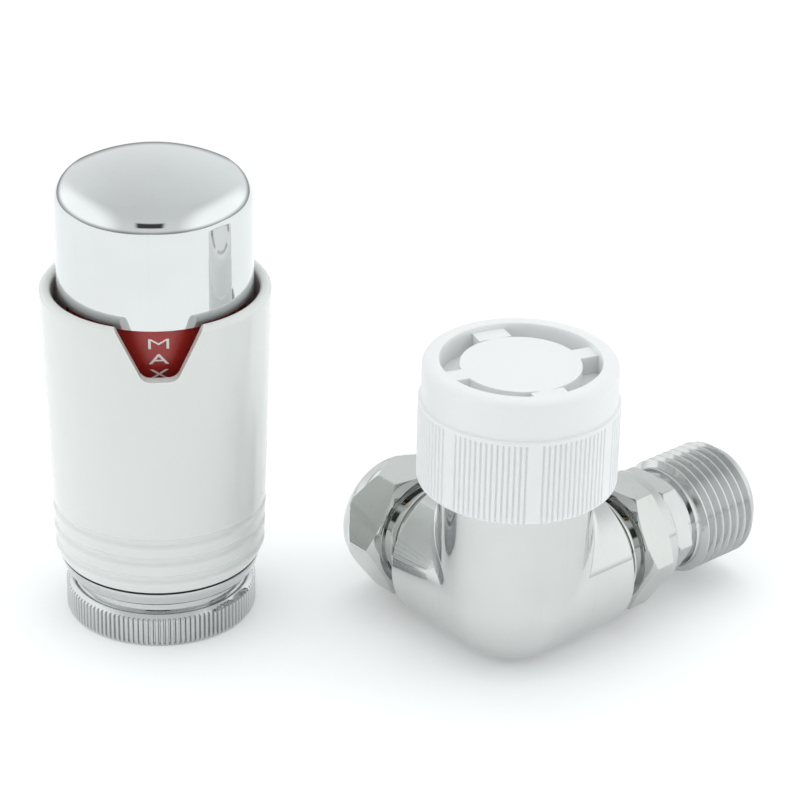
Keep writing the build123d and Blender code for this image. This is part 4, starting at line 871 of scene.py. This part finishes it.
G_CREST, G_ROOT = 10.48, 9.32
SCREW_CREST = G_CREST - 0.2
HEX_FROM = arm_end + 4.8
union_hex = hexagon("union_hex", HEX_FROM, HEX_FROM + 5.8, 2 * HALF_FLATS, ALONG_X)
hex_shape = turned(
    "hex_shape",
    [
        (0, HEX_FROM - 0.01),
        (HALF_FLATS - 0.5, HEX_FROM - 0.01),
        (HEX_CORNER + 0.3, HEX_FROM + 1.25),
        (HEX_CORNER + 0.3, HEX_FROM + 4.55),
        (HALF_FLATS - 0.1, HEX_FROM + 5.81),
        (0, HEX_FROM + 5.81),
    ],
    CORNER,
    ALONG_X,
    128,
)
combine(union_hex, hex_shape, "INTERSECT")
union_core = turned(
    "union_core",
    [
        (8.1, arm_end - 4.7, 0.1),
        (8.9, arm_end - 4.7, 0.2),
        (G_ROOT, arm_end - 4.2),
        (G_ROOT, HEX_FROM - 0.9),
        (8.9, HEX_FROM - 0.6),
        (8.9, HEX_FROM + 0.2),
        (8.9, HEX_FROM + 5.5),
        (10.9, HEX_FROM + 5.5),
        (10.9, HEX_FROM + 8.0, 0.45),
        (8.1, HEX_FROM + 8.0, 0.15),
    ],
    CORNER,
    ALONG_X,
    128,
)
union_through = turned(
    "union_through",
    [(0, HEX_FROM - 0.5), (8.5, HEX_FROM - 0.5), (8.5, HEX_FROM + 6.2), (0, HEX_FROM + 6.2)],
    CORNER,
    ALONG_X,
    64,
)
combine(union_hex, union_through, "DIFFERENCE")
soften(union_hex, 0.12, 2, 24)
smooth(union_hex, 40)
smooth(union_core, 40)
union_ridge = male_thread(
    "union_ridge", arm_end - 4.3, HEX_FROM - 0.5, SCREW_CREST, G_ROOT, PITCH, CORNER, ALONG_X
)
smooth(union_ridge, 50)
union_screw = join([union_hex, union_core, union_ridge], "union_nut")
chrome_nut = plated("chrome_on_nuts", (0.61, 0.62, 0.61), (0.54, 0.55, 0.54), 0.05, 0.12, 160.0, 0.00003)
stand_for(union_screw, ["union_screw"], "union", chrome_nut)

# ---------------------------------------------------------------- radiator tail
# Turned brass tail, plated: a spigot for the union screw, a small hexagon to hold it by, an undercut and
# the half-inch thread that goes into the radiator.
TAIL_END = (tail_high.x - PIN.x) / MM
THREAD_FROM = TAIL_END - 14.7
SMALL_HEX = THREAD_FROM - 5.6
tail_core = turned(
    "tail_core",
    [
        (6.2, SMALL_HEX - 21.0, 0.2),
        (8.0, SMALL_HEX - 21.0, 0.3),
        (8.0, SMALL_HEX + 0.05),
        (7.9, SMALL_HEX + 0.3),
        (7.9, SMALL_HEX + 3.7),
        (8.6, SMALL_HEX + 4.0),
        (8.6, THREAD_FROM - 0.02),
        (G_ROOT - 0.1, THREAD_FROM),
        (G_ROOT, THREAD_FROM + 0.4),
        (G_ROOT, TAIL_END - 0.9),
        (G_ROOT - 0.35, TAIL_END, 0.15),
        (6.9, TAIL_END, 0.1),
        (6.2, TAIL_END - 0.7),
    ],
    CORNER,
    ALONG_X,
    128,
)
tail_hex = hexagon("tail_hex", SMALL_HEX, SMALL_HEX + 4.0, 18.0, ALONG_X)
tail_shape = turned(
    "tail_shape",
    [(6.5, SMALL_HEX), (9.3, SMALL_HEX), (10.6, SMALL_HEX + 0.7), (10.6, SMALL_HEX + 3.3)]
    + [(9.3, SMALL_HEX + 4.0), (6.5, SMALL_HEX + 4.0)],
    CORNER,
    ALONG_X,
    128,
)
combine(tail_hex, tail_shape, "INTERSECT")
soften(tail_hex, 0.1, 2, 24)
smooth(tail_hex, 40)
smooth(tail_core, 40)
tail_ridge = male_thread(
    "tail_ridge", THREAD_FROM + 0.1, TAIL_END - 0.05, G_CREST, G_ROOT, PITCH, CORNER, ALONG_X, 96
)
smooth(tail_ridge, 50)
tailpiece = join([tail_core, tail_hex, tail_ridge], "radiator_tail")
chrome_thread = plated(
    "chrome_on_thread", (0.62, 0.63, 0.63), (0.52, 0.53, 0.53), 0.10, 0.20, 260.0, 0.00004
)
stand_for(tailpiece, ["tailpiece"], "tail", chrome_thread)

# ---------------------------------------------------------------- compression screw
# Plated brass screw on the pipe arm; a copper pipe goes through it and it drives the clamping ring home.
# The hexagon has a domed outer end.
PIPE_HEX = arm_end + 6.0
pipe_hex = hexagon("pipe_hex", PIPE_HEX, PIPE_HEX + 11.3, 2 * HALF_FLATS, ALONG_Y)
crown_shape = turned(
    "crown_shape",
    [
        (0, PIPE_HEX - 0.01),
        (HALF_FLATS - 0.5, PIPE_HEX - 0.01),
        (HEX_CORNER + 0.3, PIPE_HEX + 1.25),
        (HEX_CORNER + 0.3, PIPE_HEX + 5.0),
        (HALF_FLATS + 0.45, PIPE_HEX + 7.4),
        (HALF_FLATS + 0.05, PIPE_HEX + 8.4),
        (10.7, PIPE_HEX + 9.4),
        (10.2, PIPE_HEX + 10.3),
        (9.5, PIPE_HEX + 10.95),
        (8.8, PIPE_HEX + 11.27),
        (0, PIPE_HEX + 11.27),
    ],
    CORNER,
    ALONG_Y,
    128,
)
combine(pipe_hex, crown_shape, "INTERSECT")
pipe_through = turned(
    "pipe_through",
    [(0, PIPE_HEX - 0.5), (7.6, PIPE_HEX - 0.5), (7.6, PIPE_HEX + 10.8)]
    + [(8.1, PIPE_HEX + 11.4), (0, PIPE_HEX + 11.4)],
    CORNER,
    ALONG_Y,
    128,
)
combine(pipe_hex, pipe_through, "DIFFERENCE")
soften(pipe_hex, 0.12, 2, 24)
smooth(pipe_hex, 40)
pipe_core = turned(
    "pipe_core",
    [
        (9.0, arm_end - 3.5, 0.1),
        (G_ROOT, arm_end - 3.2),
        (G_ROOT, PIPE_HEX - 0.9),
        (8.9, PIPE_HEX - 0.6),
        (8.9, PIPE_HEX + 0.4),
        (7.65, PIPE_HEX + 0.4),
        (7.65, arm_end - 1.1),
    ],
    CORNER,
    ALONG_Y,
    128,
)
smooth(pipe_core, 40)
pipe_ridge = male_thread(
    "pipe_ridge", arm_end - 3.3, PIPE_HEX - 0.5, SCREW_CREST, G_ROOT, PITCH, CORNER, ALONG_Y
)
smooth(pipe_ridge, 50)
pipe_screw = join([pipe_hex, pipe_core, pipe_ridge], "pipe_clamping_screw")
stand_for(pipe_screw, ["compression_screw"], "pipe_screw", chrome_nut)

# ---------------------------------------------------------------- knurled collar
# Plated brass ring nut that screws the head to the valve: fine straight knurl with a polished bevel above.
sleeve_low, sleeve_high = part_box("sleeve")
HEAD = Vector(((sleeve_low.x + sleeve_high.x) / 2, (sleeve_low.y + sleeve_high.y) / 2, 0))
KNURLS = 117
KNURL_STEP = 360 / KNURLS


def collar_groove(around):
    return 0.30 < (around / KNURL_STEP) % 1.0 < 0.70


collar = ribbed(
    "knurled_collar",
    [
        (15.4, 0.0, False),
        (16.0, 0.0, False),
        (16.25, 0.12, False),
        (16.42, 0.35, False),
        (16.5, 0.55, True),
        (16.5, 5.0, True),
        (16.3, 5.22, True),
        (16.22, 5.35, False),
        (15.72, 5.9, False),
        (15.6, 5.98, False),
        (15.45, 6.0, False),
        (15.1, 6.0, False),
        (14.9, 6.15, False),
        (14.9, 9.3, False),
        (14.5, 9.3, False),
        (14.5, 10.3, False),
        (14.9, 10.3, False),
        (14.9, 10.5, False),
        (13.2, 10.5, False),
        (13.2, 6.0, False),
        (14.2, 6.0, False),
        (14.2, 5.6, False),
        (15.0, 4.9, False),
        (14.2, 4.3, False),
        (15.0, 3.5, False),
        (14.2, 2.8, False),
        (15.0, 2.0, False),
        (14.2, 1.3, False),
        (15.0, 0.5, False),
        (15.4, 0.0, False),
    ],
    KNURLS,
    6,
    collar_groove,
    0.42,
    HEAD,
)
bpy.ops.object.mode_set(mode="EDIT")
bpy.ops.mesh.select_all(action="SELECT")
bpy.ops.mesh.remove_doubles(threshold=2e-6)
bpy.ops.mesh.select_all(action="SELECT")
bpy.ops.mesh.normals_make_consistent(inside=False)
bpy.ops.object.mode_set(mode="OBJECT")
smooth(collar, 36)
chrome_collar = plated(
    "chrome_on_collar", (0.62, 0.63, 0.635), (0.54, 0.55, 0.555), 0.05, 0.12, 160.0, 0.00003
)
stand_for(collar, ["collar_nut"], "collar", chrome_collar)

# ---------------------------------------------------------------- base ring
# Plated ring under the sleeve that carries the collar's wire ring; only its lower band shows.
base_ring = turned(
    "plated_base_ring",
    [
        (15.05, 8.1, 0.1),
        (16.2, 8.1, 0.15),
        (16.55, 8.5, 0.2),
        (17.2, 10.2, 0.15),
        (17.2, 10.7, 0.08),
        (16.35, 10.7),
        (16.35, 14.0),
        (14.6, 14.0),
        (14.6, 10.8),
        (15.75, 10.8),
        (15.75, 9.3),
        (15.05, 9.3),
    ],
    HEAD,
    ALONG_Z,
    160,
)
smooth(base_ring, 36)
stand_for(base_ring, ["base_ring"], "head", chrome_collar)

# ---------------------------------------------------------------- scale barrel
# Red moulded barrel fixed to the head's frame. White lettering is printed on it: MAX for fully open, then
# 4, 3, 2, 1 and a dot for frost protection, one every 58 degrees.
barrel_low, barrel_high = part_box("scale_barrel")
BARREL_R = (barrel_high.x - barrel_low.x) / 2 / MM
WINDOW = -124.6
barrel = turned(
    "scale_drum",
    [
        (14.0, barrel_low.z / MM),
        (BARREL_R, barrel_low.z / MM, 0.2),
        (BARREL_R, barrel_high.z / MM, 0.2),
        (14.0, barrel_high.z / MM),
    ],
    HEAD,
    ALONG_Z,
    128,
)
smooth(barrel, 36)
scale_red, red = new_material("red_scale_moulding", (0.36, 0.022, 0.016), 0.28)
red.inputs["Coat Weight"].default_value = 0.15
red_haze = put_group(scale_red, haze, {"Patch Size": 120.0, "Sharpest": 0.24, "Dullest": 0.38})
scale_red.node_tree.links.new(red_haze.outputs["Roughness"], red.inputs["Roughness"])
put_tint(scale_red, red, (0.37, 0.022, 0.016), (0.33, 0.020, 0.015), red_haze.outputs["Mask"])
red_ripple = put_group(scale_red, ripple, {"Size": 300.0, "Grain": 4200.0, "Grain Share": 0.15})
put_bump(scale_red, red, red_ripple.outputs["Height"], 0.00002)
stand_for(barrel, ["scale_barrel"], "head", scale_red)


def printed(name, words, level, width, height, angle, bold):
    """Raised print on the barrel: flat letters, cut into narrow strips and wrapped round it."""
    clear_selection()
    bpy.ops.object.text_add(location=(0, 0, 0))
    piece = bpy.context.active_object
    piece.data.body = words
    piece.data.align_x = "CENTER"
    piece.data.align_y = "BOTTOM_BASELINE"
    piece.data.offset = bold
    piece.data.extrude = 0.5
    piece.data.resolution_u = 6
    bpy.ops.object.convert(target="MESH")
    corners = [vert.co for vert in piece.data.vertices]
    left, right = min(c.x for c in corners), max(c.x for c in corners)
    foot, head = min(c.y for c in corners), max(c.y for c in corners)
    stretch_x, stretch_y = width * MM / (right - left), height * MM / (head - foot)
    piece.location = (-(left + right) / 2 * stretch_x, -foot * stretch_y, 0)
    piece.scale = (stretch_x, stretch_y, 0.10 * MM)
    bpy.ops.object.transform_apply(location=True, rotation=True, scale=True)
    bpy.ops.object.mode_set(mode="EDIT")
    bpy.ops.mesh.select_all(action="SELECT")
    bpy.ops.mesh.remove_doubles(threshold=1e-7)
    bpy.ops.mesh.quads_convert_to_tris()
    cuts = 14
    for cut in range(1, cuts):
        bpy.ops.mesh.select_all(action="SELECT")
        bpy.ops.mesh.bisect(
            plane_co=((cut / cuts - 0.5) * width * MM, 0, 0), plane_no=(1, 0, 0), threshold=1e-7
        )
    bpy.ops.object.mode_set(mode="OBJECT")
    for vert in piece.data.vertices:
        turn = radians(angle) + vert.co.x / (BARREL_R * MM)
        reach = BARREL_R * MM + vert.co.z
        vert.co = HEAD + Vector((reach * cos(turn), reach * sin(turn), level * MM + vert.co.y))
    piece.name = name
    piece.data.name = name
    return piece


white_print, ink = new_material("white_scale_print", (0.78, 0.77, 0.75), 0.4)
ink_haze = put_group(white_print, haze, {"Patch Size": 400.0, "Sharpest": 0.35, "Dullest": 0.5})
white_print.node_tree.links.new(ink_haze.outputs["Roughness"], ink.inputs["Roughness"])
put_tint(white_print, ink, (0.80, 0.79, 0.77), (0.66, 0.60, 0.58), ink_haze.outputs["Mask"])
marks = [
    printed("mark_m", "M", 56.2, 3.4, 1.8, WINDOW, -0.010),
    printed("mark_a", "A", 53.45, 3.3, 1.8, WINDOW, 0.002),
    printed("mark_x", "X", 50.75, 3.3, 1.7, WINDOW, 0.002),
]
for place, figure in enumerate("4321"):
    marks.append(
        printed("mark_" + figure, figure, 54.2, 2.6, 3.6, WINDOW - 58 * (place + 1), 0.02)
    )
marks.append(printed("mark_frost", "•", 54.9, 2.2, 2.2, WINDOW - 290, 0.0))
lettering = join(marks, "scale_lettering")
lettering.data.materials.clear()
lettering.data.materials.append(white_print)
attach(lettering, "head")

# ---------------------------------------------------------------- turning sleeve
# Glossy white ABS sleeve, a little wider at its rounded mouth, with three shallow grooves near the foot
# and a V-shaped window through which the scale is read.
LIP = 61.3
LIP_HALF = 1.05
LIP_Z = LIP - LIP_HALF
LOW_Z, LOW_R, TOP_R = 13.6, 18.2, 19.5


def sleeve_radius(level):
    """Outer radius on the straight taper."""
    return LOW_R + (level - LOW_Z) / (LIP_Z - LOW_Z) * (TOP_R - LOW_R)


sleeve_outline = [(16.65, 11.0), (17.1, 11.0, 0.1), (17.35, 11.25), (17.75, 12.0), (18.05, 12.8)]
for middle in (14.1, 17.65, 21.2):
    surface = sleeve_radius(middle)
    sleeve_outline += [
        (surface - 0.02, middle - 0.95, 0.12),
        (surface - 0.46, middle - 0.45, 0.12),
        (surface - 0.46, middle + 0.45, 0.12),
        (surface + 0.02, middle + 0.95, 0.12),
    ]
sleeve_outline += [(sleeve_radius(level), level) for level in (24.0, 36.0, 48.0)]
sleeve_outline += [
    (TOP_R - LIP_HALF + LIP_HALF * cos(radians(a)), LIP_Z + LIP_HALF * sin(radians(a)))
    for a in range(0, 181, 15)
]
sleeve_outline += [(16.75, 19.0), (14.3, 19.0), (14.3, 17.0), (16.73, 17.0)]
white_sleeve = turned("white_sleeve", sleeve_outline, HEAD, ALONG_Z, 192)
clear_selection()
bpy.ops.mesh.primitive_cube_add(size=1, location=(0, 0, 0))
window_block = bpy.context.active_object
bpy.ops.transform.resize(value=(10 * MM, 2 * 7.75 * MM, 10.2 * MM))
settle("window_block")
bpy.ops.object.mode_set(mode="EDIT")
pick(window_block, lambda vert: vert.co.z < 0)
bpy.ops.transform.resize(value=(1, 2.75 / 7.75, 1))
pick(
    window_block,
    lambda edge: all(v.co.z < 0 for v in edge.verts)
    and abs(edge.verts[0].co.x - edge.verts[1].co.x) > 5 * MM,
    "edges",
)
bpy.ops.mesh.bevel(offset=1.1 * MM, offset_type="OFFSET", segments=6, affect="EDGES")
bpy.ops.mesh.select_all(action="SELECT")
bpy.ops.mesh.normals_make_consistent(inside=False)
bpy.ops.object.mode_set(mode="OBJECT")
toward = Vector((cos(radians(WINDOW)), sin(radians(WINDOW)), 0))
window_block.rotation_euler = (0, 0, radians(WINDOW))
window_block.location = HEAD + toward * (19.5 * MM) + ALONG_Z * ((52.1 + 5.1) * MM)
settle("window_block")
combine(white_sleeve, window_block, "DIFFERENCE")
soften(white_sleeve, 0.18, 3, 50)
smooth(white_sleeve, 40)
# The second colour is the painted highlight on the sleeve's edges.
gloss_white, gloss = white_moulding(
    "gloss_white_moulding", (0.71, 0.73, 0.715), (0.84, 0.86, 0.85), (0.14, 45.0, 0.10, 0.20),
    (0.15, (0.0006, 0.0005, 0.0005)), 0.7, (130.0, 3600.0, 0.04), 0.00006,
)
gloss.inputs["Coat Weight"].default_value = 0.25
gloss.inputs["Coat Roughness"].default_value = 0.05
stand_for(white_sleeve, ["sleeve"], "handwheel", gloss_white)

# ---------------------------------------------------------------- chrome dome
# Moulded cap, bright plated. A tab fills the top of the sleeve's window and three legs clip it in.
SHELL_R, CROWN_R, SHOULDER_R, DOME_TOP, WALL = 16.5, 30.4, 5.0, 84.3, 1.3


def dome_line(skin):
    """Points from the crown down to the side at a depth below the skin, as (radius, level)."""
    side, crown, shoulder = SHELL_R - skin, CROWN_R - skin, SHOULDER_R - skin
    crown_z = DOME_TOP - CROWN_R
    shoulder_z = crown_z + sqrt((crown - shoulder) ** 2 - (side - shoulder) ** 2)
    lean = atan2(side - shoulder, shoulder_z - crown_z)
    crown_steps, shoulder_steps = 14, 14
    points = [
        (crown * sin(lean * i / crown_steps), crown_z + crown * cos(lean * i / crown_steps))
        for i in range(crown_steps)
    ]
    for i in range(shoulder_steps + 1):
        angle = lean + (pi / 2 - lean) * i / shoulder_steps
        points.append((side - shoulder + shoulder * sin(angle), shoulder_z + shoulder * cos(angle)))
    return points


LEG_FOOT, SKIRT, TAB = 47.8, 60.6, 60.1
dome_outline = (
    dome_line(0)
    + [(SHELL_R, LEG_FOOT), (SHELL_R - WALL, LEG_FOOT)]
    + dome_line(WALL)[::-1]
)
dome = turned("plated_dome", dome_outline, HEAD, ALONG_Z, 192)
clear_selection()
bpy.ops.mesh.primitive_cylinder_add(
    vertices=96,
    radius=20 * MM,
    depth=(SKIRT - LEG_FOOT + 2) * MM,
    location=HEAD + ALONG_Z * ((SKIRT + LEG_FOOT - 2) / 2 * MM),
)
skirt_cut = settle("skirt_cut")
for leg in range(4):
    turn = radians(WINDOW + 90 * leg)
    half = 7.2 if leg == 0 else 3.0
    bottom = TAB if leg == 0 else LEG_FOOT - 5
    clear_selection()
    bpy.ops.mesh.primitive_cube_add(
        size=1,
        location=HEAD
        + Vector((16 * cos(turn), 16 * sin(turn), 0)) * MM
        + ALONG_Z * ((bottom + SKIRT + 2) / 2 * MM),
        rotation=(0, 0, turn),
    )
    slab = bpy.context.active_object
    slab.scale = (12 * MM, 2 * half * MM, (SKIRT + 2 - bottom) * MM)
    slab = settle("slab")
    combine(skirt_cut, slab, "DIFFERENCE")
combine(dome, skirt_cut, "DIFFERENCE")
smooth(dome, 40)
chrome_dome = plated("chrome_on_dome", (0.70, 0.715, 0.72), (0.66, 0.67, 0.675), 0.03, 0.065, 70.0, 0.00002)
stand_for(dome, ["dome_cap"], "handwheel", chrome_dome)

# ---------------------------------------------------------------- inner works
# Machined brass, drawn stainless, black rubber and grey moulded pieces inside both units keep their
# turned shapes as they are and only get their finishes.
def machined(name, plain, worn, rough, metal, patch, grain=None, depth=0.0):
    """A finish with patches of a second colour and roughness, and a fine grain where one is given."""
    base_rough, sharpest, dullest = rough
    material, shader = new_material(name, plain, base_rough, metal)
    patchy = put_group(material, haze, {"Patch Size": patch, "Sharpest": sharpest, "Dullest": dullest})
    material.node_tree.links.new(patchy.outputs["Roughness"], shader.inputs["Roughness"])
    put_tint(material, shader, plain, worn, patchy.outputs["Mask"])
    if grain:
        size, fine, share = grain
        grained = put_group(material, ripple, {"Size": size, "Grain": fine, "Grain Share": share})
        put_bump(material, shader, grained.outputs["Height"], depth)
    return material


INNER_FINISHES = {
    "brass": machined(
        "turned_brass", (0.60, 0.41, 0.16), (0.48, 0.31, 0.12), (0.26, 0.18, 0.36), 1.0, 140.0,
        (700.0, 6000.0, 0.5), 0.00002,
    ),
    "stainless": machined(
        "drawn_stainless", (0.60, 0.60, 0.59), (0.48, 0.48, 0.48), (0.24, 0.16, 0.32), 1.0, 180.0,
        (900.0, 7000.0, 0.5), 0.00001,
    ),
    "seal_rubber": machined(
        "black_seal_rubber", (0.022, 0.022, 0.024), (0.05, 0.05, 0.05), (0.6, 0.5, 0.75), 0.0, 300.0
    ),
    "grey_moulding": machined(
        "grey_moulding", (0.28, 0.29, 0.30), (0.22, 0.23, 0.24), (0.5, 0.42, 0.62), 0.0, 160.0,
        (400.0, 5000.0, 0.6), 0.00003,
    ),
}
for subpart in frame["record"]["subparts"]:
    finish = INNER_FINISHES.get(subpart["material_slot"])
    if finish:
        node = frame["nodes"][subpart["node"]]
        node.data.materials.clear()
        node.data.materials.append(finish)
